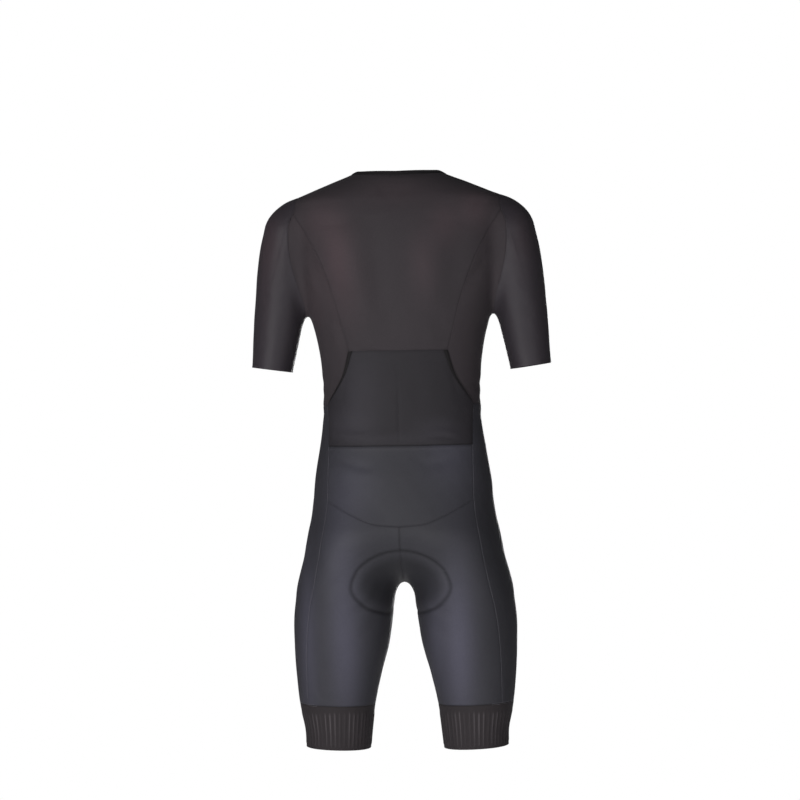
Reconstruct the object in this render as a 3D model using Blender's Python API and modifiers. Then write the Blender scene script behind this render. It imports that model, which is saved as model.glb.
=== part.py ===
"""A short-sleeved one-piece triathlon suit, hollow, in the shape that it has when it is worn.

Metres, +Z up. The front faces -Y and the wearer's left is +X. The origin lies between the two places
where the shoulder seams meet the neck, which is where the wearer's shoulders hold the suit.
The outer faces of all the panels lie on one smooth general figure, given by the tables below.
"""

import math

import bmesh
import bpy
import numpy as np
from mathutils import Matrix

MM = 0.001
OBJECT = "triathlon_suit"

CLOTH = 1.5 * MM  # wall of a cloth panel
GAP = 0.3 * MM  # between two pieces at a seam
LAYER_GAP = 0.45 * MM  # between a panel and what lies on it

# How closely the figure is followed.
SLOPE_STEP = 0.1 * MM
LEAST_SLOPE = 0.05  # squared; below this the figure's field is too flat to steer by
RAY_REACH = 320 * MM
RAY_STEPS = 128
HALVINGS = 30
TURN_STEP = 0.5  # degrees between the points of a close loop
LINE_POINTS = 40
QUARTER_POINTS = 90


def table(columns, *rows):
    """A table in millimetres, its columns kept by name in metres."""
    names = columns.split()
    return {name: np.array([row[i] for row in rows]) * MM for i, name in enumerate(names)}


# The general figure: sections of the trunk, of one leg and of one arm.
TRUNK = table(
    "down half_width front back",
    (-60, 55, 48, 56),
    (0, 67, 52, 62),
    (8, 83, 55, 68),
    (20, 114, 59, 77),
    (34, 148, 63, 86),
    (48, 179, 67, 93),
    (62, 186, 73, 98),
    (100, 183, 89, 106),
    (150, 177, 104, 110),
    (200, 167, 112, 108),
    (238, 155, 113, 104),
    (280, 143, 110, 98),
    (330, 135, 106, 91),
    (380, 133, 102, 86),
    (430, 135, 100, 86),
    (470, 141, 100, 91),
    (520, 149, 101, 102),
    (565, 153, 102, 110),
    (605, 151, 102, 115),
    (650, 147, 98, 115),
    (700, 140, 88, 108),
)
TRUNK_POWER = 2.3  # 2 is an ellipse, more is squarer
TRUNK_END = 600 * MM
TRUNK_CAP = 87 * MM
LEG = table(
    "down centre half_width front back",
    (560, 78, 60, 86, 98),
    (610, 84, 71, 92, 108),
    (650, 92, 77, 94, 111),
    (700, 99, 83, 93, 106),
    (755, 105, 83.5, 91, 97),
    (800, 108.5, 80, 87, 89),
    (850, 114, 72, 80, 79),
    (905, 117, 63, 72, 70),
    (945, 115.5, 56.5, 66, 64),
    (980, 117, 54.5, 62, 62),
    (1030, 119, 53, 58, 60),
)
LEG_POWER = 2.15
LEG_START = 640 * MM
LEG_CAP = 90 * MM
ARM = table(
    "along half_width half_depth",
    (0, 43, 55),
    (25, 45.5, 55),
    (60, 46, 54),
    (115, 43, 52),
    (150, 41, 50),
    (187, 38, 47),
    (215, 35.5, 45),
    (232, 34.5, 44),
    (280, 34, 42),
)
ARM_ROOT = np.array((187.3, 4, -107)) * MM
ARM_ANGLE = math.radians(8)  # out from straight down
ARM_CAP = 52 * MM
ARM_POWER = 2.0
ARMPIT_BLEND = 22 * MM
HIP_BLEND = 46 * MM
CROTCH_BLEND = 22 * MM

# Seams, as heights below the origin and distances from the middle, each side alike.
NECK_EDGE = {
    "turn": np.radians((0, 20, 38, 52, 72, 90, 135, 180)),  # from the middle of the front to the back
    "down": np.array((56, 48, 31, 18, 7, 3, 4, 5.5)) * MM,
}
NECK_CORNER = math.radians(85)
NECK_BINDING = 8 * MM
BINDING_RISE = 0.5 * MM
ARMHOLE = table(
    "down across",
    (30, 168),
    (45, 171),
    (70, 174.5),
    (88, 182),
    (108, 183.5),
    (127, 183),
    (144, 181),
    (180, 173),
    (215, 163),
    (235, 159.5),
    (260, 158),
)
ARMHOLE_MIDDLE = np.array((-6, -135)) * MM  # its depth and height
SHOULDER_PROBE = 120 * MM  # a height well inside the figure, below the shoulder seam
PRINCESS_TOP = 71 * MM
FRONT_SEAM_TOP = 112 * MM
POCKET_TOP = 305.5 * MM
SIDE_WAIST = 396 * MM
BACK_WAIST = 464 * MM
PRINCESS = table("down across", (105, 154), (146, 133), (187, 117), (228, 103), (282, 89.5))
POCKET_CORNER = 82.5 * MM
MOUTH = table("down across", (348, 95), (372, 108.5))
MOUTH_END = 123 * MM
BACK_WAIST_CORNER = 120.5 * MM
YOKE_CORNER = table("down across", (555, 122))
SIDE_BACK_UPPER = table("down across", (500, 121))
SIDE_BACK_LOWER = table("down across", (616, 131), (680, 142.5), (748, 156.5), (826, 162.5))
SIDE_BACK_END = 162.5 * MM
YOKE = table("down across", (598, 0), (593, 44), (578, 80))
FRONT_SEAM = table("down across", (150, 163), (200, 144), (255, 127), (320, 117))
FRONT_WAIST_CORNER = 113 * MM
SIDE_FRONT = table("down across", (465, 112), (555, 117), (620, 128), (685, 142), (752, 155), (826, 160))
SIDE_FRONT_END = 160 * MM
INNER_LEG = (714 * MM, 740 * MM, 780 * MM, 820 * MM, 860 * MM)
PIVOT = 600 * MM  # height from which the crotch is swept
GRIPPER_TOP = {"outer": 897 * MM, "slope": 0.032}
LEG_HEM = {"outer": 971 * MM, "slope": 0.040}
LEG_EDGE = 180 * MM  # the outer side of the leg, where a level line starts to drop
SLEEVE_HEM = 229 * MM  # along the arm

# How many steps each seam is drawn in.
ACROSS_SHOULDER = 4
ROUND_NECK_BACK = 4
ROUND_NECK_FRONT = 6
ARMHOLE_BACK = 2
ARMHOLE_UNDER = 12
ARMHOLE_FRONT = 4
DOWN_PRINCESS = 10
DOWN_MOUTH = 5
DOWN_POCKET_SIDE = 3
DOWN_YOKE = 4
DOWN_LEG = 15
DOWN_CROTCH = 6
DOWN_SLEEVE = 9
ROUND_LEG_SIDE = 6
ROUND_LEG_FRONT = 8
CROTCH_EASE = 1.25  # how much closer the steps are near the crotch
RELAX_ROUNDS = 60
MERGE = 0.001 * MM
SHARP_ANGLE = math.radians(40)
SPLIT_WAY = (0.37, 0.61, 1.0)  # tells which corner a seam's narrow faces are cut from

# The pocket on the back, its bound mouths and its slack.
POCKET_SLACK = 2.2 * MM
SLACK_POWER = 0.7  # less than 1 lets the slack start quickly at the seams
FOLD_POWER = 0.5
MOUTH_BAND = (7 * MM, 1.2 * MM)  # its width at the top and at the lower end
MOUTH_RISE = 0.5 * MM
POCKET_FOLDS = table("across down length height depth", (-62, 452, 34, 11, 2.6), (52, 450, 42, 10, 2.2))

# The leg grippers and their ribs.
RIBS = 50
RIB_RISE = 0.5 * MM
RIB_START = 14 * MM
RIB_RAMP = 2 * MM

# The seat pad inside, along its middle from the back to the front.
PAD = {
    "along": np.array((0.0, 0.08, 0.16, 0.26, 0.36, 0.48, 0.62, 0.8, 1.0)),
    "half_width": np.array((76, 96, 92, 76, 64, 52, 50, 56, 46)) * MM,
}
PAD_BACK = 638 * MM
PAD_FRONT = 604 * MM
PAD_ENDS = (21 * MM, 22 * MM)  # how much the two ends round away at the sides
PAD_EDGE = 2.2 * MM
PAD_MIDDLE = 8.5 * MM
PAD_SETBACK = 4.0 * MM  # its outer face, in from the figure
PAD_ROWS = 13
PAD_COLUMNS = 10
WALK_STEPS = 24
WALK_CORRECTIONS = 3

# The front zip, its slider and its pull tab.
ZIP_HALF = 7 * MM
CHAIN_HALF = 2.6 * MM
CHAIN_RISE = 0.8 * MM
SLIDER_DOWN = 11 * MM
SLIDER_PROBES = np.array((-5, 0, 5)) * MM  # heights that tell how the chain leans under it
SLIDER_LIFT = 0.4 * MM
SLIDER_SIZE = (8.6 * MM, 1.6 * MM, 11 * MM)
SLIDER_BEVEL = 0.5 * MM
BAIL_WIRE = 0.8 * MM
BAIL_FOOT = 3.2 * MM
BAIL_HEIGHT = 3.1 * MM
BAIL_SQUARE = 0.55  # 1 is a half ellipse, less is squarer
BAIL_POINTS = 13
PULL_AXIS = 1.35 * MM  # out from the slider's face
PULL_LENGTH = 24 * MM
PULL_HALF = 3.1 * MM
PULL_END_HALF = 2.4 * MM
PULL_END_POINTS = 9
PULL_THICKNESS = 1.1 * MM
PULL_BAR = 0.7 * MM
PULL_SLOT_HALF = 1.25 * MM
PULL_SLOT_END = 5.2 * MM
PULL_LEAN = math.radians(2.5)

FINISHES = {
    "bodice_mesh": ((0.046, 0.038, 0.043), 0.85, 0.0),
    "side_mesh": ((0.040, 0.034, 0.038), 0.85, 0.0),
    "sleeve_knit": ((0.040, 0.036, 0.040), 0.7, 0.0),
    "pocket_knit": ((0.040, 0.037, 0.043), 0.8, 0.0),
    "leg_knit": ((0.055, 0.055, 0.069), 0.62, 0.0),
    "leg_side_knit": ((0.027, 0.026, 0.030), 0.7, 0.0),
    "gripper_band": ((0.030, 0.025, 0.027), 0.8, 0.0),
    "binding": ((0.020, 0.018, 0.021), 0.75, 0.0),
    "pad_foam": ((0.022, 0.022, 0.026), 0.95, 0.0),
    "zip_tape": ((0.018, 0.017, 0.019), 0.8, 0.0),
    "zip_teeth": ((0.014, 0.014, 0.015), 0.4, 0.0),
    "zip_metal": ((0.030, 0.030, 0.032), 0.35, 0.8),
}


# ---------------------------------------------------------------- the figure


def smooth(stations, values, at):
    """A smooth curve through the values at the stations, read at any places."""
    stations, values = np.asarray(stations), np.asarray(values)
    slopes = np.gradient(values, stations, axis=0)
    at = np.clip(at, stations[0], stations[-1])
    i = np.clip(np.searchsorted(stations, at) - 1, 0, len(stations) - 2)
    step = stations[i + 1] - stations[i]
    t = (at - stations[i]) / step
    if values.ndim == 2:
        step, t = step[:, None], t[:, None]
    start = (2 * t**3 - 3 * t**2 + 1) * values[i] + (t**3 - 2 * t**2 + t) * step * slopes[i]
    end = (3 * t**2 - 2 * t**3) * values[i + 1] + (t**3 - t**2) * step * slopes[i + 1]
    return start + end


def tube(across, depth, beyond, half_width, front, back, power, cap):
    """How far points lie outside a tube: nought on its surface, less than nought within it."""
    half_depth = np.where(depth > 0, back, front)
    section = (np.abs(across / half_width) ** power + np.abs(depth / half_depth) ** power) ** (1 / power)
    return (np.sqrt(section**2 + (beyond / cap) ** 2) - 1) * np.sqrt(half_width * (front + back) / 2)


def blend(first, second, width):
    """Two shapes joined with a soft fillet."""
    overlap = np.maximum(width - np.abs(first - second), 0) / width
    return np.minimum(first, second) - overlap**2 * width / 4


def leg_tube(across, depth, down):
    centre, half_width, front, back = (
        smooth(LEG["down"], LEG[name], down) for name in ("centre", "half_width", "front", "back")
    )
    beyond = np.minimum(down - LEG_START, 0)
    return tube(across - centre, depth, beyond, half_width, front, back, LEG_POWER, LEG_CAP)


def arm_tube(across, depth, down):
    out, drop = across - ARM_ROOT[0], down + ARM_ROOT[2]
    along = out * math.sin(ARM_ANGLE) + drop * math.cos(ARM_ANGLE)
    beside = out * math.cos(ARM_ANGLE) - drop * math.sin(ARM_ANGLE)
    half_width = smooth(ARM["along"], ARM["half_width"], along)
    front = back = smooth(ARM["along"], ARM["half_depth"], along)
    beyond = np.minimum(along, 0)
    return tube(beside, depth - ARM_ROOT[1], beyond, half_width, front, back, ARM_POWER, ARM_CAP)


def figure(points):
    """The figure that the suit's outer face follows: nought on it, less than nought within."""
    across, depth, down = np.abs(points[:, 0]), points[:, 1], -points[:, 2]
    half_width, front, back = (
        smooth(TRUNK["down"], TRUNK[name], down) for name in ("half_width", "front", "back")
    )
    beyond = np.maximum(down - TRUNK_END, 0)
    trunk = tube(across, depth, beyond, half_width, front, back, TRUNK_POWER, TRUNK_CAP)
    legs = blend(leg_tube(across, depth, down), leg_tube(-across, depth, down), CROTCH_BLEND)
    return blend(blend(trunk, legs, HIP_BLEND), arm_tube(across, depth, down), ARMPIT_BLEND)


def gradient(points):
    ways = np.eye(3) * SLOPE_STEP
    rises = [figure(points + way) - figure(points - way) for way in ways]
    return np.stack(rises, axis=1) / (2 * SLOPE_STEP)


def outward(points):
    slopes = gradient(points)
    return slopes / np.linalg.norm(slopes, axis=1, keepdims=True)


def steepness(slopes):
    return np.maximum((slopes**2).sum(axis=1), LEAST_SLOPE)


def settle(points, rounds=12):
    """The points moved onto the figure."""
    points = np.array(points, float)
    for _ in range(rounds):
        slopes = gradient(points)
        points -= slopes * (figure(points) / steepness(slopes))[:, None]
    return points


def cast(start, ways, onto=None, reach=RAY_REACH):
    """Where rays that start inside the figure first leave it."""
    start, ways = np.asarray(start, float), np.atleast_2d(ways)

    def places(far):
        points = start + ways * far[:, None]
        return onto(points) if onto else points

    steps = np.linspace(0, reach, RAY_STEPS + 1)
    outside = np.stack([figure(places(np.full(len(ways), far))) > 0 for far in steps])
    first = np.maximum(outside.argmax(axis=0), 1)
    near, far = steps[first - 1], steps[first]
    for _ in range(HALVINGS):
        middle = (near + far) / 2
        within = figure(places(middle)) < 0
        near, far = np.where(within, middle, near), np.where(within, far, middle)
    return places(far)


# ---------------------------------------------------------------- seams


def seen(down, across, facing):
    """Points of the back (facing 1) or the front (facing -1), by height and distance from the middle."""
    down, across = np.broadcast_arrays(np.atleast_1d(down), np.atleast_1d(across))
    start = np.stack([across, np.zeros(len(down)), -down], axis=1)
    return cast(start, np.tile((0.0, facing, 0.0), (len(down), 1)))


def evenly(line, count, ease=1.0):
    """A close line of points redrawn in even steps, or in steps that grow from its start."""
    length = np.r_[0, np.cumsum(np.linalg.norm(np.diff(line, axis=0), axis=1))]
    at = np.linspace(0, 1, count + 1) ** ease * length[-1]
    return np.stack([np.interp(at, length, line[:, axis]) for axis in range(3)], axis=1)


def seam(points, count, ease=1.0):
    """A smooth seam on the figure through a few points."""
    points = np.array(points, float)
    length = np.r_[0, np.cumsum(np.linalg.norm(np.diff(points, axis=0), axis=1))]
    line = smooth(length, points, np.linspace(0, length[-1], 12 * count + 1))
    drawn = settle(evenly(settle(line), count, ease))
    drawn[0], drawn[-1] = points[0], points[-1]
    return drawn


def part_of(loop, start, end, count):
    """The stretch of a close closed line from one of its points on to another, in even steps."""
    first, last = (np.linalg.norm(loop - corner, axis=1).argmin() for corner in (start, end))
    stretch = loop[first : last + 1] if last > first else np.r_[loop[first:], loop[: last + 1]]
    return evenly(np.vstack([start, stretch[1:-1], end]), count)


def joined(*lines):
    return np.vstack([lines[0]] + [line[1:] for line in lines[1:]])


def mirrored(points):
    return points * (-1, 1, 1)


def both_halves(line):
    """A line that starts on the middle plane, with its mirror image before it."""
    return np.vstack([mirrored(line[::-1]), line[1:]])


def sideways(line):
    """Directions on the figure at right angles to a line."""
    along = np.gradient(line, axis=0)
    ways = np.cross(outward(line), along)
    return ways / np.linalg.norm(ways, axis=1, keepdims=True)


def full_turn():
    return np.radians(np.arange(0, 360, TURN_STEP))


def neck_lines():
    """The neck's edge and the seam under its binding, from the zip round to the middle of the back."""
    turn = np.radians(np.arange(0, 180 + TURN_STEP, TURN_STEP))
    down = smooth(NECK_EDGE["turn"], NECK_EDGE["down"], turn)
    start = np.stack([0 * turn, 0 * turn, -down], axis=1)
    edge = cast(start, np.stack([np.sin(turn), -np.cos(turn), 0 * turn], axis=1))
    under = sideways(edge)
    under *= -np.sign(under[:, 2:])
    under[[0, -1], 0] = 0
    seam_line = settle(edge + under / np.linalg.norm(under, axis=1, keepdims=True) * NECK_BINDING)
    corner = np.abs(turn - NECK_CORNER).argmin()
    drawn = []
    for line in (edge, seam_line):
        past_zip = line[:, 0] > ZIP_HALF
        first = past_zip.argmax()
        share = (ZIP_HALF - line[first - 1, 0]) / (line[first, 0] - line[first - 1, 0])
        start_point = line[first - 1] + share * (line[first] - line[first - 1])
        line = np.vstack([start_point, line[first:]])
        at_corner = corner - first + 1
        line[-1, 0] = 0
        front = evenly(line[: at_corner + 1], ROUND_NECK_FRONT)
        drawn.append((front, evenly(line[at_corner:], ROUND_NECK_BACK)))
    return drawn


def armhole_lines():
    """The armhole's three stretches: top to princess seam, under the arm, and up the front to the top."""
    turn = full_turn()

    def onto(points):
        return np.column_stack([smooth(ARMHOLE["down"], ARMHOLE["across"], -points[:, 2]), points[:, 1:]])

    ways = np.stack([0 * turn, np.sin(turn), np.cos(turn)], axis=1)
    loop = cast((0, *ARMHOLE_MIDDLE), ways, onto)
    quarter = len(loop) // 4
    behind, ahead = loop[:quarter], loop[-quarter:]
    top = loop[0]
    princess = behind[np.abs(behind[:, 2] + PRINCESS_TOP).argmin()]
    front = ahead[np.abs(ahead[:, 2] + FRONT_SEAM_TOP).argmin()]
    return (
        part_of(loop, top, princess, ARMHOLE_BACK),
        part_of(loop, princess, front, ARMHOLE_UNDER),
        part_of(loop, front, top, ARMHOLE_FRONT),
    )


def level_loop(down):
    """The trunk's section at a height, from the middle of the back round by +X."""
    turn = full_turn()
    ways = np.stack([np.sin(turn), np.cos(turn), 0 * turn], axis=1)
    return cast((0, 0, -down), ways)


def leg_loop(line):
    """A leg's section on a slightly sloping level, from its outer side round by the back."""
    turn = full_turn()
    centre = smooth(LEG["down"], LEG["centre"], np.array([line["outer"]]))[0]
    ways = np.stack([np.cos(turn), np.sin(turn), np.cos(turn) * line["slope"]], axis=1)
    down = line["outer"] + (LEG_EDGE - centre) * line["slope"]
    return cast((centre, 0, -down), ways)


def arm_loop(along, count):
    """The arm's section square to its axis, in as many steps as the armhole, from its top point."""
    turn = full_turn()
    down_arm = np.array((math.sin(ARM_ANGLE), 0, -math.cos(ARM_ANGLE)))
    out_arm = np.array((math.cos(ARM_ANGLE), 0, math.sin(ARM_ANGLE)))
    centre = ARM_ROOT + down_arm * along
    ways = np.outer(np.cos(turn), out_arm) + np.outer(np.sin(turn), (0, 1, 0))
    loop = cast(centre, ways, reach=0.1)
    return evenly(np.vstack([loop, loop[:1]]), count)


def crotch_line(facing):
    """The middle line under the trunk on one side, from level with the pivot down to the crotch."""
    turn = np.linspace(0, math.pi / 2, QUARTER_POINTS)
    ways = np.stack([0 * turn, facing * np.cos(turn), -np.sin(turn)], axis=1)
    return cast((0, 0, -PIVOT), ways)


def seams():
    """Every seam of the left half, by name, each in even steps from its upper end."""
    found = {}
    (edge_front, edge_back), (neck_front, neck_back) = neck_lines()
    found["neck_edge_front"], found["neck_edge_back"] = edge_front, edge_back
    found["neck_front"], found["neck_back"] = neck_front, neck_back
    armhole_back, armhole_under, armhole_front = armhole_lines()
    found["armhole_back"], found["armhole_under"] = armhole_back, armhole_under
    found["armhole_front"] = armhole_front
    arm_top, princess_top, front_top = armhole_back[0], armhole_under[0], armhole_under[-1]
    plan = np.linspace(neck_back[0], arm_top, LINE_POINTS)
    plan[1:-1, 2] = -SHOULDER_PROBE
    plan[1:-1] = cast(plan[1:-1], np.tile((0.0, 0.0, 1.0), (LINE_POINTS - 2, 1)))
    found["shoulder"] = evenly(plan, ACROSS_SHOULDER)

    pocket_corner = seen(POCKET_TOP, POCKET_CORNER, 1)[0]
    mouth_end = seen(SIDE_WAIST, MOUTH_END, 1)[0]
    back_waist_corner = seen(BACK_WAIST, BACK_WAIST_CORNER, 1)[0]
    yoke_corner = seen(YOKE_CORNER["down"], YOKE_CORNER["across"], 1)[0]
    front_waist_corner = seen(SIDE_WAIST, FRONT_WAIST_CORNER, -1)[0]
    gripper = leg_loop(GRIPPER_TOP)
    quarter = len(gripper) // 4
    behind, ahead = gripper[:quarter], gripper[-quarter:]
    side_back_end = behind[np.abs(behind[:, 0] - SIDE_BACK_END).argmin()]
    side_front_end = ahead[np.abs(ahead[:, 0] - SIDE_FRONT_END).argmin()]
    inner_end = gripper[gripper[:, 0].argmin()]

    def through(start, rows, end, facing, count):
        drawn = seen(rows["down"], rows["across"], facing)
        return seam([start, *drawn, end], count)

    found["princess"] = through(princess_top, PRINCESS, pocket_corner, 1, DOWN_PRINCESS)
    found["mouth"] = through(pocket_corner, MOUTH, mouth_end, 1, DOWN_MOUTH)
    found["pocket_side"] = seam([mouth_end, back_waist_corner], DOWN_POCKET_SIDE)
    found["yoke_side"] = through(back_waist_corner, SIDE_BACK_UPPER, yoke_corner, 1, DOWN_YOKE)
    found["side_back"] = through(yoke_corner, SIDE_BACK_LOWER, side_back_end, 1, DOWN_LEG)
    to_waist = DOWN_PRINCESS + DOWN_MOUTH
    found["front_seam"] = through(front_top, FRONT_SEAM, front_waist_corner, -1, to_waist)
    down_side = DOWN_POCKET_SIDE + DOWN_YOKE + DOWN_LEG
    found["side_front"] = through(front_waist_corner, SIDE_FRONT, side_front_end, -1, down_side)

    half = ROUND_NECK_BACK + ACROSS_SHOULDER
    across = np.linspace(0, 1, half + 1)
    found["pocket_top"] = seen(POCKET_TOP, across * POCKET_CORNER, 1)
    waist = level_loop(BACK_WAIST)
    found["back_waist"] = part_of(waist, waist[0], back_waist_corner, half)
    yoke = seen(YOKE["down"], YOKE["across"], 1)
    found["yoke"] = seam([*yoke, yoke_corner], half)

    side_loop = level_loop(SIDE_WAIST)
    zip_end = seen(SIDE_WAIST, ZIP_HALF, -1)[0]
    found["side_waist"] = part_of(side_loop, mouth_end, front_waist_corner, ARMHOLE_UNDER)
    across_front = ROUND_NECK_FRONT + ACROSS_SHOULDER
    found["front_waist"] = part_of(side_loop, front_waist_corner, zip_end, across_front)
    found["leg_side_top"] = part_of(side_loop, mouth_end, front_waist_corner, ROUND_LEG_SIDE)
    middle_front = side_loop[len(side_loop) // 2]
    found["leg_front_top"] = part_of(side_loop, front_waist_corner, middle_front, ROUND_LEG_FRONT)

    falls = np.linspace(-neck_front[0, 2], SIDE_WAIST, LINE_POINTS)
    zip_line = seen(falls, ZIP_HALF, -1)
    zip_line[0], zip_line[-1] = neck_front[0], zip_end
    found["zip"] = evenly(zip_line, to_waist + ARMHOLE_FRONT)

    centre_back = crotch_line(1)
    crotch = centre_back[-1]
    centre_back = np.vstack([yoke[0], centre_back[centre_back[:, 2] < yoke[0, 2] - MM]])
    inner_centre = smooth(LEG["down"], LEG["centre"], np.array(INNER_LEG))
    inner_start = np.stack([inner_centre, 0 * inner_centre, -np.array(INNER_LEG)], axis=1)
    inner = cast(inner_start, np.tile((-1.0, 0.0, 0.0), (len(INNER_LEG), 1)))
    found["centre_back"] = evenly(centre_back[::-1], DOWN_CROTCH, CROTCH_EASE)[::-1]
    found["inner_leg"] = seam([crotch, *inner, inner_end], DOWN_LEG - DOWN_CROTCH, CROTCH_EASE)
    front_line = seen(np.linspace(SIDE_WAIST, PIVOT, LINE_POINTS), 0.0, -1)
    front_line[0] = middle_front
    centre_front = joined(front_line, crotch_line(-1))
    centre_front[-1] = crotch
    down_centre = down_side - (DOWN_LEG - DOWN_CROTCH)
    found["centre_front"] = evenly(centre_front[::-1], down_centre, CROTCH_EASE)[::-1]

    found["gripper_back"] = part_of(gripper, side_back_end, inner_end, half)
    found["gripper_front"] = part_of(gripper, inner_end, side_front_end, ROUND_LEG_FRONT)
    found["gripper_side"] = part_of(gripper, side_front_end, side_back_end, ROUND_LEG_SIDE)
    return found


# ---------------------------------------------------------------- panels


def relaxed(grid):
    """The inner points of a grid spread over the figure without folding, its edges held."""
    grid = np.array(grid)
    for _ in range(RELAX_ROUNDS):
        across, down = (grid[1:-1, 2:] - grid[1:-1, :-2]) / 2, (grid[2:, 1:-1] - grid[:-2, 1:-1]) / 2
        twist = (grid[2:, 2:] - grid[2:, :-2] - grid[:-2, 2:] + grid[:-2, :-2]) / 4
        width, height = (across**2).sum(axis=2, keepdims=True), (down**2).sum(axis=2, keepdims=True)
        skew = (across * down).sum(axis=2, keepdims=True)
        level = height * (grid[1:-1, 2:] + grid[1:-1, :-2])
        upright = width * (grid[2:, 1:-1] + grid[:-2, 1:-1])
        middle = (level + upright - 2 * skew * twist) / (2 * (width + height))
        grid[1:-1, 1:-1] = settle(middle.reshape(-1, 3), rounds=2).reshape(middle.shape)
    return grid


def panel(top, bottom, left, right):
    """A four-sided panel between its seams, as rows from the top, each from left to right."""
    v = np.linspace(0, 1, len(left))[:, None, None]
    u = np.linspace(0, 1, len(top))[None, :, None]
    ruled = (1 - v) * top[None] + v * bottom[None] + (1 - u) * left[:, None] + u * right[:, None]
    corners = (1 - v) * ((1 - u) * top[0] + u * top[-1]) + v * ((1 - u) * bottom[0] + u * bottom[-1])
    return relaxed(ruled - corners)


def panel_outward(grid):
    return outward(grid.reshape(-1, 3)).reshape(grid.shape)


def inset(grid, normals, closed=False):
    """The grid with each edge drawn in by half a seam's gap, along the cloth."""
    rows, columns = grid.shape[:2]
    moves = np.zeros((rows, columns, 2, 3))
    edges = [(0, 1, 0), (-1, -2, 0)] if closed else [(0, 1, 0), (-1, -2, 0), (0, 1, 1), (-1, -2, 1)]
    for outer, inner, axis in edges:
        place = (outer,) if axis == 0 else (slice(None), outer)
        within = (inner,) if axis == 0 else (slice(None), inner)
        line, into = grid[place], grid[within] - grid[place]
        if closed:
            along = np.roll(line[:-1], -1, axis=0) - np.roll(line[:-1], 1, axis=0)
            along = np.vstack([along, along[:1]])
        else:
            along = np.gradient(line, axis=0)
        way = np.cross(normals[place], along)
        way /= np.linalg.norm(way, axis=1, keepdims=True)
        moves[place][..., axis, :] = way * np.sign((way * into).sum(axis=1, keepdims=True))
    first, second = moves[:, :, 0], moves[:, :, 1]
    spread = np.maximum(1 + (first * second).sum(axis=2, keepdims=True), 0.1)
    return grid + (first + second) / spread * GAP / 2


def wall(name, grid, finish, rise=0.0, thickness=CLOTH, closed=False):
    """A closed wall on a grid of the figure's points; rise, one or one a point, lifts its outer face."""
    normals = panel_outward(grid)
    drawn = inset(grid, normals, closed)
    rise = np.broadcast_to(rise, grid.shape[:2])[..., None]
    solid(name, drawn - normals * thickness, drawn + normals * rise, finish, closed)


def solid(name, inner, outer, finish, closed=False):
    """One object whose two faces are the grids, joined round their edges."""
    rows, columns = inner.shape[:2]
    bm = bmesh.new()
    place = bm.verts.layers.int.new("place")
    bmesh.ops.create_grid(bm, x_segments=columns - 1, y_segments=rows - 1, size=0.5)
    for vert in bm.verts:
        row, column = round((vert.co.y + 0.5) * (rows - 1)), round((vert.co.x + 0.5) * (columns - 1))
        vert[place] = row * columns + column
        vert.co = inner[row, column]
    if closed:
        bmesh.ops.remove_doubles(bm, verts=bm.verts, dist=MERGE)
    bmesh.ops.triangulate(bm, faces=bm.faces[:], quad_method="SHORT_EDGE")
    lifted = bmesh.ops.extrude_face_region(bm, geom=bm.faces[:], use_keep_orig=True)["geom"]
    outer_verts = {item for item in lifted if isinstance(item, bmesh.types.BMVert)}
    for vert in outer_verts:
        vert.co = outer.reshape(-1, 3)[vert[place]]
    split_rim(bm, outer_verts)
    bmesh.ops.recalc_face_normals(bm, faces=bm.faces)
    return finished(name, bm, finish)


def split_rim(bm, outer_verts):
    """The narrow faces round a wall's edge cut the same way as on the piece beyond the seam."""
    for face in list(bm.faces):
        upper = [vert for vert in face.verts if vert in outer_verts]
        if len(upper) != 2:
            continue
        first = min(upper, key=lambda vert: np.dot((abs(vert.co.x), vert.co.y, vert.co.z), SPLIT_WAY))
        near = {vert for edge in first.link_edges for vert in edge.verts}
        across = [vert for vert in face.verts if vert not in near]
        bmesh.utils.face_split(face, first, across[0])


def finished(name, bm, finish):
    """The bmesh as a named object in the suit's collection, with its material."""
    mesh = bpy.data.meshes.new(name)
    bm.to_mesh(mesh)
    bm.free()
    mesh.shade_smooth()
    mesh.set_sharp_from_angle(angle=SHARP_ANGLE)
    piece = bpy.data.objects.new(name, mesh)
    dressed(piece, finish)
    return piece


def dressed(piece, finish):
    """Puts a piece in the suit's collection and gives it its material."""
    for holder in list(piece.users_collection):
        holder.objects.unlink(piece)
    bpy.data.collections[OBJECT].objects.link(piece)
    piece.data.materials.clear()
    piece.data.materials.append(material(finish))


def material(finish):
    if finish in bpy.data.materials:
        return bpy.data.materials[finish]
    colour, roughness, metallic = FINISHES[finish]
    made = bpy.data.materials.new(finish)
    made.use_nodes = True
    shader = made.node_tree.nodes["Principled BSDF"]
    shader.inputs["Base Color"].default_value = (*colour, 1)
    shader.inputs["Roughness"].default_value = roughness
    shader.inputs["Metallic"].default_value = metallic
    return made


def on_both_sides(name, grid, finish, **options):
    """The same panel on the wearer's left and right."""
    wall(f"{name}_left", grid, finish, **options)
    wall(f"{name}_right", mirrored(grid), finish, **options)


# ---------------------------------------------------------------- the pieces


def make_back(found):
    """The mesh back from neck to waist; returns the grid that the pocket lies on."""
    half_top = joined(found["neck_back"][::-1], found["shoulder"])
    upper_side = joined(found["armhole_back"], found["princess"])
    pocket_top, waist = both_halves(found["pocket_top"]), both_halves(found["back_waist"])
    upper = panel(both_halves(half_top), pocket_top, mirrored(upper_side), upper_side)
    lower_side = joined(found["mouth"], found["pocket_side"])
    lower = panel(pocket_top, waist, mirrored(lower_side), lower_side)
    wall("back", joined(upper, lower), "bodice_mesh")
    return lower


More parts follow.
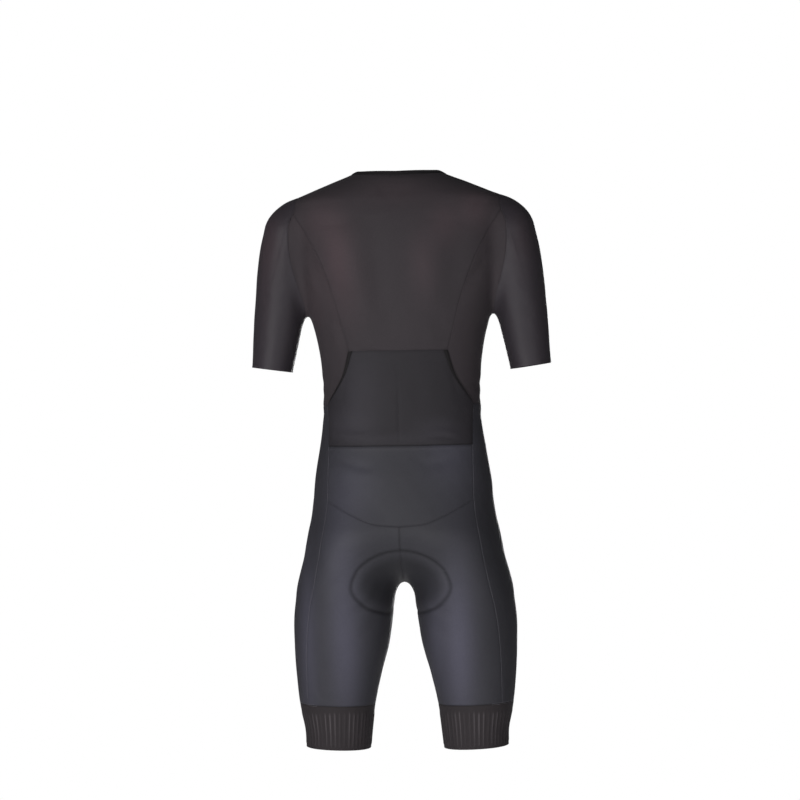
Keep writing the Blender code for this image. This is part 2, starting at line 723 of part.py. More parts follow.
def make_pocket(lower):
    """The rear pocket and its two bound mouths, moved out from the back's own points."""
    normals = panel_outward(lower)
    lift = LAYER_GAP + CLOTH
    rows = np.arange(DOWN_MOUTH + 1)
    widths = np.interp(rows, (0, DOWN_MOUTH), MOUTH_BAND)[:, None]
    pocket = np.array(lower)
    for edge, beside in ((0, 1), (-1, -2)):
        line = lower[: DOWN_MOUTH + 1, edge]
        across = lower[: DOWN_MOUTH + 1, beside] - line
        inside = line + across * widths / np.linalg.norm(across, axis=1, keepdims=True)
        pocket[: DOWN_MOUTH + 1, edge] = inside
        band = np.stack([line, inside], axis=1)
        side = "right" if edge == 0 else "left"
        band_normals = np.stack([normals[: DOWN_MOUTH + 1, edge]] * 2, axis=1)
        drawn = inset(band, band_normals)
        inner, outer = drawn + band_normals * LAYER_GAP, drawn + band_normals * (lift + MOUTH_RISE)
        solid(f"pocket_mouth_{side}", inner, outer, "binding")
    v = np.linspace(0, 1, len(lower))[:, None]
    u = np.linspace(-1, 1, lower.shape[1])[None]
    slack = POCKET_SLACK * (1 - u**2) * np.sin(np.pi * v) ** SLACK_POWER
    for across, down, length, height, depth in zip(*POCKET_FOLDS.values()):
        far = ((lower[..., 0] - across) / length) ** 2 + ((-lower[..., 2] - down) / height) ** 2
        slack = slack + depth * np.exp(-far) * np.sin(np.pi * v) ** FOLD_POWER
    drawn = inset(pocket, normals)
    inner = drawn + normals * (LAYER_GAP + slack)[..., None]
    outer = drawn + normals * (lift + slack)[..., None]
    solid("pocket", inner, outer, "pocket_knit")


def make_bodice(found):
    """The side panels, the two fronts and the sleeves."""
    down_side = joined(found["princess"], found["mouth"])
    side = panel(found["armhole_under"], found["side_waist"], down_side, found["front_seam"])
    on_both_sides("side", side, "side_mesh")
    front_top = joined(found["shoulder"][::-1], found["neck_front"][::-1])
    outer_side = joined(found["armhole_front"][::-1], found["front_seam"])
    front = panel(front_top, found["front_waist"], outer_side, found["zip"])
    on_both_sides("front", front, "sleeve_knit")
    on_both_sides("sleeve", sleeve_grid(found), "sleeve_knit", closed=True)


def sleeve_grid(found):
    """Rings from the armhole to the hem, each cast from a middle and a way between those of the two."""
    armhole = joined(found["armhole_back"], found["armhole_under"], found["armhole_front"])
    hem = arm_loop(SLEEVE_HEM, len(armhole) - 1)
    top, end = armhole[:-1].mean(axis=0), hem[:-1].mean(axis=0)
    rings = [armhole]
    for share in np.linspace(0, 1, DOWN_SLEEVE + 1)[1:-1]:
        ways = (1 - share) * (armhole - top) + share * (hem - end)
        rings.append(cast(top + share * (end - top), ways / np.linalg.norm(ways, axis=1, keepdims=True)))
    return np.stack([*rings, hem])


def make_shorts(found):
    """The yoke, the seat, side and front panels of the legs."""
    waist, yoke_seam = both_halves(found["back_waist"]), both_halves(found["yoke"])
    yoke = panel(waist, yoke_seam, mirrored(found["yoke_side"]), found["yoke_side"])
    wall("yoke", yoke, "leg_knit")
    inner = joined(found["centre_back"], found["inner_leg"])
    seat = panel(found["yoke"], found["gripper_back"][::-1], inner, found["side_back"])
    on_both_sides("seat", seat, "leg_knit")
    down_back = joined(found["pocket_side"], found["yoke_side"], found["side_back"])
    side = panel(found["leg_side_top"], found["gripper_side"][::-1], down_back, found["side_front"])
    on_both_sides("leg_side", side, "leg_side_knit")
    inner = joined(found["centre_front"], found["inner_leg"])
    front = panel(found["leg_front_top"], found["gripper_front"][::-1], found["side_front"], inner)
    on_both_sides("leg_front", front, "leg_knit")


def make_grippers():
    """The ribbed bands that hold the legs down, their ribs raised over a plain inside."""
    columns = 2 * RIBS
    loops = (leg_loop(GRIPPER_TOP), leg_loop(LEG_HEM))
    top, hem = (evenly(np.vstack([loop, loop[:1]]), columns) for loop in loops)
    height = np.linalg.norm(top - hem, axis=1).mean()
    shares = np.array((0, RIB_START / height, (RIB_START + RIB_RAMP) / height, 1))[:, None, None]
    grid = (1 - shares) * top[None] + shares * hem[None]
    grid[1:-1] = settle(grid[1:-1].reshape(-1, 3)).reshape(grid[1:-1].shape)
    raised = np.zeros(grid.shape[:2])
    raised[2:, 1::2] = RIB_RISE
    on_both_sides("gripper", grid, "gripper_band", closed=True, rise=raised)


def walk(start, across, distance):
    """Points reached over the figure from the start, square to a direction, towards +X."""
    points = np.array(start)
    step = (distance / WALK_STEPS)[:, None]
    for _ in range(WALK_STEPS):
        way = np.cross(across, outward(points))
        way /= np.linalg.norm(way, axis=1, keepdims=True)
        points = points + way * step
        for _ in range(WALK_CORRECTIONS):
            slopes = gradient(points)
            slopes -= across * (slopes * across).sum(axis=1, keepdims=True)
            points -= slopes * (figure(points) / steepness(slopes))[:, None]
    return points


def make_pad():
    """The seat pad, on the inner side of the seat and the fronts, from behind to before the crotch."""
    behind, ahead = crotch_line(1), crotch_line(-1)
    line = joined(behind[behind[:, 2] < -PAD_BACK], ahead[::-1][ahead[::-1][:, 2] < -PAD_FRONT])
    length = np.r_[0, np.cumsum(np.linalg.norm(np.diff(line, axis=0), axis=1))]
    rows, columns = np.linspace(0, 1, PAD_ROWS + 1), np.linspace(-1, 1, PAD_COLUMNS + 1)
    along, side = np.meshgrid(rows, columns, indexing="ij")
    start, end = PAD_ENDS[0] * side**2, length[-1] - PAD_ENDS[1] * side**2
    at = (start + (end - start) * along).ravel()
    middle = np.stack([np.interp(at, length, line[:, axis]) for axis in range(3)], axis=1)
    near = np.stack([np.interp(at + MM, length, line[:, axis]) for axis in range(3)], axis=1)
    far = np.stack([np.interp(at - MM, length, line[:, axis]) for axis in range(3)], axis=1)
    across = (near - far) / np.linalg.norm(near - far, axis=1, keepdims=True)
    reach = smooth(PAD["along"], PAD["half_width"], along.ravel()) * np.abs(side.ravel())
    points = walk(middle, across, reach)
    wrong_side = (points[:, 0] < 0) != (side.ravel() < 0)
    points[wrong_side] = mirrored(points[wrong_side])
    grid = points.reshape(*along.shape, 3)
    normals = panel_outward(grid)
    crown = (1 - side**2) * np.sqrt(np.maximum(1 - (2 * along - 1) ** 2, 0))
    thickness = PAD_EDGE + (PAD_MIDDLE - PAD_EDGE) * crown
    outer = grid - normals * PAD_SETBACK
    solid("seat_pad", outer - normals * thickness[..., None], outer, "pad_foam")


def make_binding(found):
    """The narrow binding round the neck, from one side of the zip to the other."""
    edge = joined(found["neck_edge_front"], found["neck_edge_back"])
    under = joined(found["neck_front"], found["neck_back"])
    edge, under = (np.vstack([line, mirrored(line[-2::-1])]) for line in (edge, under))
    wall("neck_binding", np.stack([edge, under]), "binding", rise=BINDING_RISE)


def zip_columns(found):
    """The zip's lines down the front: each a place across it, in the same steps as the fronts."""
    top = found["neck_edge_front"][0]
    falls = np.r_[-top[2], -found["zip"][:, 2]]
    return {across: seen(falls, across, -1) for across in (ZIP_HALF, CHAIN_HALF, -CHAIN_HALF, -ZIP_HALF)}


def make_zip(found):
    """The two tapes, the chain between them, and the closed slider with its pull tab."""
    lines = zip_columns(found)
    wall("zip_tape_left", np.stack([lines[CHAIN_HALF], lines[ZIP_HALF]], axis=1), "zip_tape")
    wall("zip_tape_right", np.stack([lines[-ZIP_HALF], lines[-CHAIN_HALF]], axis=1), "zip_tape")
    chain = np.stack([lines[-CHAIN_HALF], lines[CHAIN_HALF]], axis=1)
    wall("zip_chain", chain, "zip_teeth", rise=CHAIN_RISE)

    spots = seen(SLIDER_DOWN + SLIDER_PROBES - found["neck_edge_front"][0, 2], 0.0, -1)
    run = spots[2] - spots[0]
    lean = math.atan2(-run[1], -run[2])
    facing = np.array((0, -math.cos(lean), math.sin(lean)))
    seat = spots.mean(axis=0) + facing * (CHAIN_RISE + SLIDER_LIFT + SLIDER_SIZE[1] / 2)
    make_slider(seat, lean)
    make_pull(seat + facing * (SLIDER_SIZE[1] / 2 + PULL_AXIS), lean)


def make_slider(seat, lean):
    """The slider: a plate over the chain, with a bail for the pull tab."""
    bpy.ops.mesh.primitive_cube_add(size=1)
    plate = bpy.context.active_object
    plate.name = plate.data.name = "zip_slider"
    plate.data.transform(Matrix.Diagonal((*SLIDER_SIZE, 1)))
    soften = plate.modifiers.new("soft edges", "BEVEL")
    soften.width = SLIDER_BEVEL
    soften.segments = 2
    dressed(plate, "zip_metal")

    face = SLIDER_SIZE[1] / 2
    turn = np.linspace(0, math.pi, BAIL_POINTS)
    height = face - BAIL_WIRE / 2 + (BAIL_HEIGHT + BAIL_WIRE / 2) * np.sin(turn) ** BAIL_SQUARE
    path = np.stack([0 * turn, -height, BAIL_FOOT * np.cos(turn)], axis=1)
    curve = bpy.data.curves.new("bail", "CURVE")
    curve.dimensions = "3D"
    curve.bevel_depth = BAIL_WIRE
    curve.bevel_resolution = 2
    curve.use_fill_caps = True
    spline = curve.splines.new("POLY")
    spline.points.add(len(path) - 1)
    for point, place in zip(spline.points, path):
        point.co = (*place, 1)
    bail = welded(bpy.data.objects.new("bail", curve))
    unite = plate.modifiers.new("bail", "BOOLEAN")
    unite.operation = "UNION"
    unite.object = bail
    for item in (plate, bail):
        item.location = seat
        item.rotation_euler = (-lean, 0, 0)


def welded(curve_object):
    """A curve object made a closed mesh, in the cutters' collection."""
    cutters = bpy.data.collections["cutters"]
    cutters.objects.link(curve_object)
    bpy.context.view_layer.update()
    evaluated = curve_object.evaluated_get(bpy.context.evaluated_depsgraph_get())
    mesh = bpy.data.meshes.new_from_object(evaluated)
    bm = bmesh.new()
    bm.from_mesh(mesh)
    bmesh.ops.remove_doubles(bm, verts=bm.verts, dist=MERGE)
    bmesh.ops.recalc_face_normals(bm, faces=bm.faces)
    bm.to_mesh(mesh)
    bm.free()
    made = bpy.data.objects.new(curve_object.name + "_union", mesh)
    made.matrix_world = curve_object.matrix_world
    made.hide_render = True
    made.display_type = "WIRE"
    cutters.objects.link(made)
    bpy.data.objects.remove(curve_object)
    return made


def make_pull(axis, lean):
    """The pull tab: a flat tapered tab, slotted round the bail, hanging from its top bar."""
    end = np.linspace(0, math.pi, PULL_END_POINTS)
    low = PULL_END_HALF - PULL_LENGTH - PULL_END_HALF * np.sin(end)
    rounding = np.stack([PULL_END_HALF * np.cos(end), low], axis=1)
    upper_right = [(PULL_HALF, PULL_BAR), (PULL_HALF, -PULL_SLOT_END)]
    upper_left = [(-PULL_HALF, -PULL_SLOT_END), (-PULL_HALF, PULL_BAR)]
    outline = np.vstack([upper_right, rounding, upper_left])
    slot = [
        (-PULL_SLOT_HALF, -PULL_BAR),
        (PULL_SLOT_HALF, -PULL_BAR),
        (PULL_SLOT_HALF, -PULL_SLOT_END),
        (-PULL_SLOT_HALF, -PULL_SLOT_END),
    ]
    curve = bpy.data.curves.new("zip_pull", "CURVE")
    curve.dimensions = "2D"
    curve.fill_mode = "BOTH"
    curve.extrude = PULL_THICKNESS / 2
    for points in (outline, slot):
        spline = curve.splines.new("POLY")
        spline.points.add(len(points) - 1)
        spline.use_cyclic_u = True
        for point, (across, up) in zip(spline.points, points):
            point.co = (across, up, 0, 1)
    pull = bpy.data.objects.new("zip_pull", curve)
    dressed(pull, "zip_metal")
    hinge = bpy.data.objects.new("pull_hinge", None)
    bpy.data.collections[OBJECT].objects.link(hinge)
    hinge.location = axis
    hinge.rotation_euler = (math.pi / 2 - lean + PULL_LEAN, 0, 0)
    pull.parent = hinge


def main():
    for old in list(bpy.data.objects):
        bpy.data.objects.remove(old)
    for name in (OBJECT, "cutters"):
        bpy.context.scene.collection.children.link(bpy.data.collections.new(name))
    found = seams()
    make_pocket(make_back(found))
    make_bodice(found)
    make_shorts(found)
    make_grippers()
    make_pad()
    make_binding(found)
    make_zip(found)
    bpy.context.view_layer.update()


main()
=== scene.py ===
"""The triathlon suit in cloth: knit panels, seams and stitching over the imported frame.

Metres, +Z up, the front faces -Y and the wearer's left is +X, as in the frame. Every panel is a
fine grid on the same general figure as the frame's solids, between the same seams.
"""

import math

import bmesh
import bpy
import numpy as np
from mathutils import Matrix, Vector
from mathutils.kdtree import KDTree


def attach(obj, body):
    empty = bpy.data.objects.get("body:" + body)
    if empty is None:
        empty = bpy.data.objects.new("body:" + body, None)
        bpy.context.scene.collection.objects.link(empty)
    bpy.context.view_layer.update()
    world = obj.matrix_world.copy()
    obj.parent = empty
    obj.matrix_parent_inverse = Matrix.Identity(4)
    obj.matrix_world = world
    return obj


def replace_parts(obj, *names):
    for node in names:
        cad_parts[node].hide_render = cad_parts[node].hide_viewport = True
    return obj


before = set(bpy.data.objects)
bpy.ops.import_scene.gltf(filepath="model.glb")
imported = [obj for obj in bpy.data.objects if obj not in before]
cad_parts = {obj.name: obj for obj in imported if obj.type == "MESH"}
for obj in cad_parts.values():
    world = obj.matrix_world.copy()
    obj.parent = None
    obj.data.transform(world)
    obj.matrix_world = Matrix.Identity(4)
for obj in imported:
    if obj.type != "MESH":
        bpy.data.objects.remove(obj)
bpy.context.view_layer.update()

MM = 0.001
FINE = 8  # how many times closer the seams are drawn here than in the frame

# How closely the figure is followed.
SLOPE_STEP = 0.1 * MM
LEAST_SLOPE = 0.05  # squared; below this the figure's field is too flat to steer by
SETTLE_ROUNDS = 12
NEAR_ROUNDS = 2  # enough for points close to the figure
NET_ROUNDS = 3
RAY_REACH = 320 * MM
ARM_REACH = 100 * MM
RAY_STEPS = 128
HALVINGS = 30
TURN_STEP = 0.5  # degrees between the points of a close loop
LINE_POINTS = 40
QUARTER_POINTS = 90
FIRST_DRAWN = 12  # how many times closer a seam is drawn before its steps are made even


def table(columns, *rows):
    """A table in millimetres, its columns kept by name in metres."""
    names = columns.split()
    return {name: np.array([row[i] for row in rows]) * MM for i, name in enumerate(names)}


# The general figure: sections of the trunk, of one leg and of one arm.
TRUNK = table(
    "down half_width front back",
    (-60, 55, 48, 56),
    (0, 67, 52, 62),
    (8, 83, 55, 68),
    (20, 114, 59, 77),
    (34, 148, 63, 86),
    (48, 179, 67, 93),
    (62, 186, 73, 98),
    (100, 183, 89, 106),
    (150, 177, 104, 110),
    (200, 167, 112, 108),
    (238, 155, 113, 104),
    (280, 143, 110, 98),
    (330, 135, 106, 91),
    (380, 133, 102, 86),
    (430, 135, 100, 86),
    (470, 141, 100, 91),
    (520, 149, 101, 102),
    (565, 153, 102, 110),
    (605, 151, 102, 115),
    (650, 147, 98, 115),
    (700, 140, 88, 108),
)
TRUNK_POWER = 2.3  # 2 is an ellipse, more is squarer
TRUNK_END = 600 * MM
TRUNK_CAP = 87 * MM
LEG = table(
    "down centre half_width front back",
    (560, 78, 60, 86, 98),
    (610, 84, 71, 92, 108),
    (650, 92, 77, 94, 111),
    (700, 99, 83, 93, 106),
    (755, 105, 83.5, 91, 97),
    (800, 108.5, 80, 87, 89),
    (850, 114, 72, 80, 79),
    (905, 117, 63, 72, 70),
    (945, 115.5, 56.5, 66, 64),
    (980, 117, 54.5, 62, 62),
    (1030, 119, 53, 58, 60),
)
LEG_POWER = 2.15
LEG_START = 640 * MM
LEG_CAP = 90 * MM
ARM = table(
    "along half_width half_depth",
    (0, 43, 55),
    (25, 45.5, 55),
    (60, 46, 54),
    (115, 43, 52),
    (150, 41, 50),
    (187, 38, 47),
    (215, 35.5, 45),
    (232, 34.5, 44),
    (280, 34, 42),
)
ARM_ROOT = np.array((187.3, 4, -107)) * MM
ARM_ANGLE = math.radians(8)  # out from straight down
ARM_CAP = 52 * MM
ARM_POWER = 2.0
ARMPIT_BLEND = 22 * MM
HIP_BLEND = 46 * MM
CROTCH_BLEND = 22 * MM

# Seams, as heights below the origin and distances from the middle, each side alike.
NECK_EDGE = {
    # From the middle of the front round to the middle of the back.
    "turn": np.radians((0, 20, 38, 52, 72, 90, 135, 180)),
    "down": np.array((56, 48, 31, 18, 7, 3, 4, 5.5)) * MM,
}
NECK_CORNER = math.radians(85)
NECK_BINDING = 8 * MM
BINDING_RISE = 0.5 * MM
ARMHOLE = table(
    "down across",
    (30, 168),
    (45, 171),
    (70, 174.5),
    (88, 182),
    (108, 183.5),
    (127, 183),
    (144, 181),
    (180, 173),
    (215, 163),
    (235, 159.5),
    (260, 158),
)
ARMHOLE_MIDDLE = np.array((-6, -135)) * MM  # its depth and height
SHOULDER_PROBE = 120 * MM  # a height well inside the figure, below the shoulder seam
PRINCESS_TOP = 71 * MM
FRONT_SEAM_TOP = 112 * MM
POCKET_TOP = 305.5 * MM
SIDE_WAIST = 396 * MM
BACK_WAIST = 464 * MM
PRINCESS = table("down across", (105, 154), (146, 133), (187, 117), (228, 103), (282, 89.5))
POCKET_CORNER = 82.5 * MM
MOUTH = table("down across", (348, 95), (372, 108.5))
MOUTH_END = 123 * MM
BACK_WAIST_CORNER = 120.5 * MM
YOKE_CORNER = table("down across", (555, 122))
SIDE_BACK_UPPER = table("down across", (500, 121))
SIDE_BACK_LOWER = table("down across", (616, 131), (680, 142.5), (748, 156.5), (826, 162.5))
SIDE_BACK_END = 162.5 * MM
YOKE = table("down across", (598, 0), (593, 44), (578, 80))
FRONT_SEAM = table("down across", (150, 163), (200, 144), (255, 127), (320, 117))
FRONT_WAIST_CORNER = 113 * MM
SIDE_FRONT = table(
    "down across",
    (465, 112),
    (555, 117),
    (620, 128),
    (685, 142),
    (752, 155),
    (826, 160),
)
SIDE_FRONT_END = 160 * MM
INNER_LEG = (714 * MM, 740 * MM, 780 * MM, 820 * MM, 860 * MM)
PIVOT = 600 * MM  # height from which the crotch is swept
GRIPPER_TOP = {"outer": 897 * MM, "slope": 0.032}
LEG_HEM = {"outer": 971 * MM, "slope": 0.040}
LEG_EDGE = 180 * MM  # the outer side of the leg, where a level line starts to drop
SLEEVE_HEM = 229 * MM  # along the arm

# How many steps each seam is drawn in.
ACROSS_SHOULDER = 4 * FINE
ROUND_NECK_BACK = 4 * FINE
ROUND_NECK_FRONT = 6 * FINE
ARMHOLE_BACK = 2 * FINE
ARMHOLE_UNDER = 12 * FINE
ARMHOLE_FRONT = 4 * FINE
DOWN_PRINCESS = 10 * FINE
DOWN_MOUTH = 5 * FINE
DOWN_POCKET_SIDE = 3 * FINE
DOWN_YOKE = 4 * FINE
DOWN_LEG = 15 * FINE
DOWN_CROTCH = 6 * FINE
ROUND_LEG_SIDE = 6 * FINE
ROUND_LEG_FRONT = 8 * FINE
CROTCH_EASE = 1.25  # how much closer the steps are near the crotch
RELAX_ROUNDS = 60

# The pocket on the back, its bound mouths and its slack.
POCKET_SLACK = 2.2 * MM
SLACK_POWER = 0.7  # less than 1 lets the slack start quickly at the seams
FOLD_POWER = 0.5
MOUTH_BAND = (7 * MM, 1.2 * MM)  # its width at the top and at the lower end
POCKET_FOLDS = table(
    "across down length height depth",
    (-62, 452, 34, 11, 2.6),
    (52, 450, 42, 10, 2.2),
)

# The leg grippers and their ribs.
RIBS = 50
RIB_RISE = 0.5 * MM
RIB_START = 14 * MM

# The seat pad inside, along its middle from the back to the front.
PAD = {
    "along": np.array((0.0, 0.08, 0.16, 0.26, 0.36, 0.48, 0.62, 0.8, 1.0)),
    "half_width": np.array((76, 96, 92, 76, 64, 52, 50, 56, 46)) * MM,
}
PAD_BACK = 638 * MM
PAD_FRONT = 604 * MM
PAD_ENDS = (21 * MM, 22 * MM)  # how much the two ends round away at the sides
PAD_EDGE = 2.2 * MM
PAD_MIDDLE = 8.5 * MM
PAD_SETBACK = 4.0 * MM  # its outer face, in from the figure
WALK_STEPS = 24
WALK_CORRECTIONS = 3

# Half the width of the zip's tapes that shows, from the zip's middle to the front's edge.
ZIP_HALF = 7 * MM

# The cloth, its seams and its stitches.
CLOTH_THICK = 0.8 * MM
CLOTH_UNDER = 0.7 * MM
MERGED = 0.02 * MM  # closes a tube's two edges to one
SEAM_DIP = 0.28 * MM  # how far a seam is drawn into the cloth
SEAM_WIDTH = 1.7 * MM
SEAM_POWER = 1.6
SEAM_SHADE = 1.5 * MM  # how far beside a seam the cloth is painted darker: partly the seam's own dark line, partly painted shade in its groove
EDGE_ROWS = np.array((0.0, 0.6, 1.3, 2.1, 3.1, 4.4)) * MM  # the rows that a seam's dip needs
LEAST_ROWS = 3  # between the close rows at two opposite seams
POCKET_LIFT = 1.3 * MM  # the pocket's outer face above the back's
THREAD = 0.27 * MM  # half a stitch's thickness
THREAD_FLAT = 0.8
STITCH = (2.3 * MM, 0.7 * MM)  # a stitch's length and the gap after it
STITCH_BEAD = (5, 3)  # its segments, round it and down it
STITCH_RISE = 0.03 * MM  # its middle over the cloth
NEAREST = 4  # the points of the cloth that a stitch's height is read from
NEAR_SOFT = 0.05 * MM  # keeps the nearest point's share within bounds

# How far apart a panel's rows and columns are, away from its seams.
CELLS = {
    "back": 2.6 * MM,
    "back_low": 4 * MM,  # behind the pocket
    "pocket": 1.8 * MM,
    "side": 3.0 * MM,
    "front": 2.8 * MM,
    "sleeve": 2.6 * MM,
    "yoke": 2.0 * MM,
    "seat": 2.1 * MM,
    "leg_side": 3.0 * MM,
    "leg_front": 2.8 * MM,
    "gripper": 3.0 * MM,
}
# Where a panel's ripples start, so that no two panels have the same.
RIPPLES = {
    "back": 1.3,
    "pocket": 2.9,
    "side": 4.1,
    "front": 5.3,
    "sleeve": 6.7,
    "yoke": 7.9,
    "seat": 8.3,
    "leg_side": 9.7,
    "leg_front": 10.9,
    "gripper": 12.1,
}
# How dark a panel is painted along each of its seams: partly the seam's own dark line, partly
# painted shade in its groove.
SHADES = {
    "back": {"top": 0.5, "left": 0.35, "right": 0.15},
    "pocket": {"top": 0.1, "bottom": 1.0, "left": 0.5, "right": 0.5},
    "side": {"top": 0.3, "bottom": 0.4, "left": 0.2, "right": 0.3},
    "front": {"top": 0.3, "bottom": 0.6, "left": 0.3, "right": 0.4},
    "sleeve": {"top": 0.25},
    "yoke": {"top": 0.7, "bottom": 0.22, "left": 0.1, "right": 0.1},
    "seat": {"top": 0.22, "bottom": 0.8, "left": 0.3, "right": 0.12},
    "leg_side": {"bottom": 0.8, "left": 0.12, "right": 0.2},
    "leg_front": {"top": 0.5, "bottom": 0.8, "left": 0.2, "right": 0.3},
    "gripper": {"top": 0.6},
}

# The camera, the surround and the lights: each light's place, aim, size and power.
CAMERA_AIM = Vector((0.0034, 0, -0.388))
CAMERA_TURN = math.radians(4)  # towards the wearer's right
CAMERA_FAR = 4.8
CAMERA_LENS = 127.5
CAMERA_SENSOR = 36
CAMERA_ROLL = math.radians(-0.93)
SURROUND = (0.05, 1.0)  # as light, and as seen
FLOOR_GLOW = (0.1, 0.75)  # as light, and as seen
LIGHTS = (
    ("key", (1.6, 3.3, -0.2), (0, 0, -0.5), (0.9, 1.6), 70),
    ("fill", (-1.8, 3.2, -0.4), (0, 0, -0.6), (0.9, 1.6), 26),
    ("front", (0, -3.7, -0.45), (0, 0, -0.5), (1.6, 1.8), 72),
)


# ---------------------------------------------------------------- the figure


def unit(vectors):
    """Vectors brought to length one."""
    return vectors / np.linalg.norm(vectors, axis=-1, keepdims=True)


def along_line(line):
    """How far along a line each of its points lies."""
    return np.r_[0, np.cumsum(np.linalg.norm(np.diff(line, axis=0), axis=1))]


def read_at(at, stations, line):
    """A line's points between its stations."""
    return np.stack([np.interp(at, stations, line[:, axis]) for axis in range(3)], axis=1)


def smooth(stations, values, at):
    """A smooth curve through the values at the stations, read at any places."""
    stations, values = np.asarray(stations), np.asarray(values)
    slopes = np.gradient(values, stations, axis=0)
    at = np.clip(at, stations[0], stations[-1])
    i = np.clip(np.searchsorted(stations, at) - 1, 0, len(stations) - 2)
    step = stations[i + 1] - stations[i]
    t = (at - stations[i]) / step
    if values.ndim == 2:
        step, t = step[:, None], t[:, None]
    start = (2 * t**3 - 3 * t**2 + 1) * values[i] + (t**3 - 2 * t**2 + t) * step * slopes[i]
    end = (3 * t**2 - 2 * t**3) * values[i + 1] + (t**3 - t**2) * step * slopes[i + 1]
    return start + end


def tube(across, depth, beyond, half_width, front, back, power, cap):
    """How far points lie outside a tube: nought on its surface, less than nought within it."""
    half_depth = np.where(depth > 0, back, front)
    section = np.abs(across / half_width) ** power + np.abs(depth / half_depth) ** power
    section = section ** (1 / power)
    mean = np.sqrt(half_width * (front + back) / 2)
    return (np.sqrt(section**2 + (beyond / cap) ** 2) - 1) * mean


def blend(first, second, width):
    """Two shapes joined with a soft fillet."""
    overlap = np.maximum(width - np.abs(first - second), 0) / width
    return np.minimum(first, second) - overlap**2 * width / 4


def leg_tube(across, depth, down):
    """The leg on the side of +X."""
    centre, half_width, front, back = (
        smooth(LEG["down"], LEG[name], down) for name in ("centre", "half_width", "front", "back")
    )
    beyond = np.minimum(down - LEG_START, 0)
    return tube(across - centre, depth, beyond, half_width, front, back, LEG_POWER, LEG_CAP)


def arm_tube(across, depth, down):
    """The arm on the side of +X."""
    out, drop = across - ARM_ROOT[0], down + ARM_ROOT[2]
    along = out * math.sin(ARM_ANGLE) + drop * math.cos(ARM_ANGLE)
    beside = out * math.cos(ARM_ANGLE) - drop * math.sin(ARM_ANGLE)
    half_width = smooth(ARM["along"], ARM["half_width"], along)
    front = back = smooth(ARM["along"], ARM["half_depth"], along)
    beyond = np.minimum(along, 0)
    return tube(beside, depth - ARM_ROOT[1], beyond, half_width, front, back, ARM_POWER, ARM_CAP)


def figure(points):
    """The figure that the suit's outer face follows: nought on it, less than nought within."""
    across, depth, down = np.abs(points[:, 0]), points[:, 1], -points[:, 2]
    half_width, front, back = (
        smooth(TRUNK["down"], TRUNK[name], down) for name in ("half_width", "front", "back")
    )
    beyond = np.maximum(down - TRUNK_END, 0)
    trunk = tube(across, depth, beyond, half_width, front, back, TRUNK_POWER, TRUNK_CAP)
    legs = blend(leg_tube(across, depth, down), leg_tube(-across, depth, down), CROTCH_BLEND)
    return blend(blend(trunk, legs, HIP_BLEND), arm_tube(across, depth, down), ARMPIT_BLEND)


def gradient(points):
    """The slope of the figure's field at each point."""
    ways = np.eye(3) * SLOPE_STEP
    rises = [figure(points + way) - figure(points - way) for way in ways]
    return np.stack(rises, axis=1) / (2 * SLOPE_STEP)


def outward(points):
    """The way out of the figure at each point."""
    return unit(gradient(points))


def steepness(slopes):
    """Each slope squared, kept from coming close to nought."""
    return np.maximum((slopes**2).sum(axis=1), LEAST_SLOPE)


def settle(points, rounds=SETTLE_ROUNDS):
    """The points moved onto the figure."""
    points = np.array(points, float)
    for _ in range(rounds):
        slopes = gradient(points)
        points -= slopes * (figure(points) / steepness(slopes))[:, None]
    return points


def cast(start, ways, onto=None, reach=RAY_REACH):
    """Where rays that start inside the figure first leave it."""
    start, ways = np.asarray(start, float), np.atleast_2d(ways)

    def places(far):
        points = start + ways * far[:, None]
        return onto(points) if onto else points

    steps = np.linspace(0, reach, RAY_STEPS + 1)
    outside = np.stack([figure(places(np.full(len(ways), far))) > 0 for far in steps])
    first = np.maximum(outside.argmax(axis=0), 1)
    near, far = steps[first - 1], steps[first]
    for _ in range(HALVINGS):
        middle = (near + far) / 2
        within = figure(places(middle)) < 0
        near, far = np.where(within, middle, near), np.where(within, far, middle)
    return places(far)


# ---------------------------------------------------------------- seams


def seen(down, across, facing):
    """Points of the back (facing 1) or the front (facing -1), by height and place across."""
    down, across = np.broadcast_arrays(np.atleast_1d(down), np.atleast_1d(across))
    start = np.stack([across, np.zeros(len(down)), -down], axis=1)
    return cast(start, np.tile((0.0, facing, 0.0), (len(down), 1)))


def evenly(line, count, ease=1.0):
    """A close line of points redrawn in even steps, or in steps that grow from its start."""
    length = along_line(line)
    return read_at(np.linspace(0, 1, count + 1) ** ease * length[-1], length, line)


def seam(points, count, ease=1.0):
    """A smooth seam on the figure through a few points."""
    points = np.array(points, float)
    length = along_line(points)
    line = smooth(length, points, np.linspace(0, length[-1], FIRST_DRAWN * count + 1))
    drawn = settle(evenly(settle(line), count, ease))
    drawn[0], drawn[-1] = points[0], points[-1]
    return drawn


def part_of(loop, start, end, count):
    """The stretch of a close closed line from one of its points on to another, in even steps."""
    first, last = (np.linalg.norm(loop - corner, axis=1).argmin() for corner in (start, end))
    stretch = loop[first : last + 1] if last > first else np.r_[loop[first:], loop[: last + 1]]
    return evenly(np.vstack([start, stretch[1:-1], end]), count)


def joined(*lines):
    """Lines or nets laid end to end, the shared ends once."""
    return np.vstack([lines[0]] + [line[1:] for line in lines[1:]])


def mirrored(points):
    """Points on the other side of the middle plane."""
    return points * (-1, 1, 1)


def both_halves(line):
    """A line that starts on the middle plane, with its mirror image before it."""
    return np.vstack([mirrored(line[::-1]), line[1:]])


def sideways(line):
    """Directions on the figure at right angles to a line."""
    return unit(np.cross(outward(line), np.gradient(line, axis=0)))


def full_turn():
    """The angles of a close loop."""
    return np.radians(np.arange(0, 360, TURN_STEP))


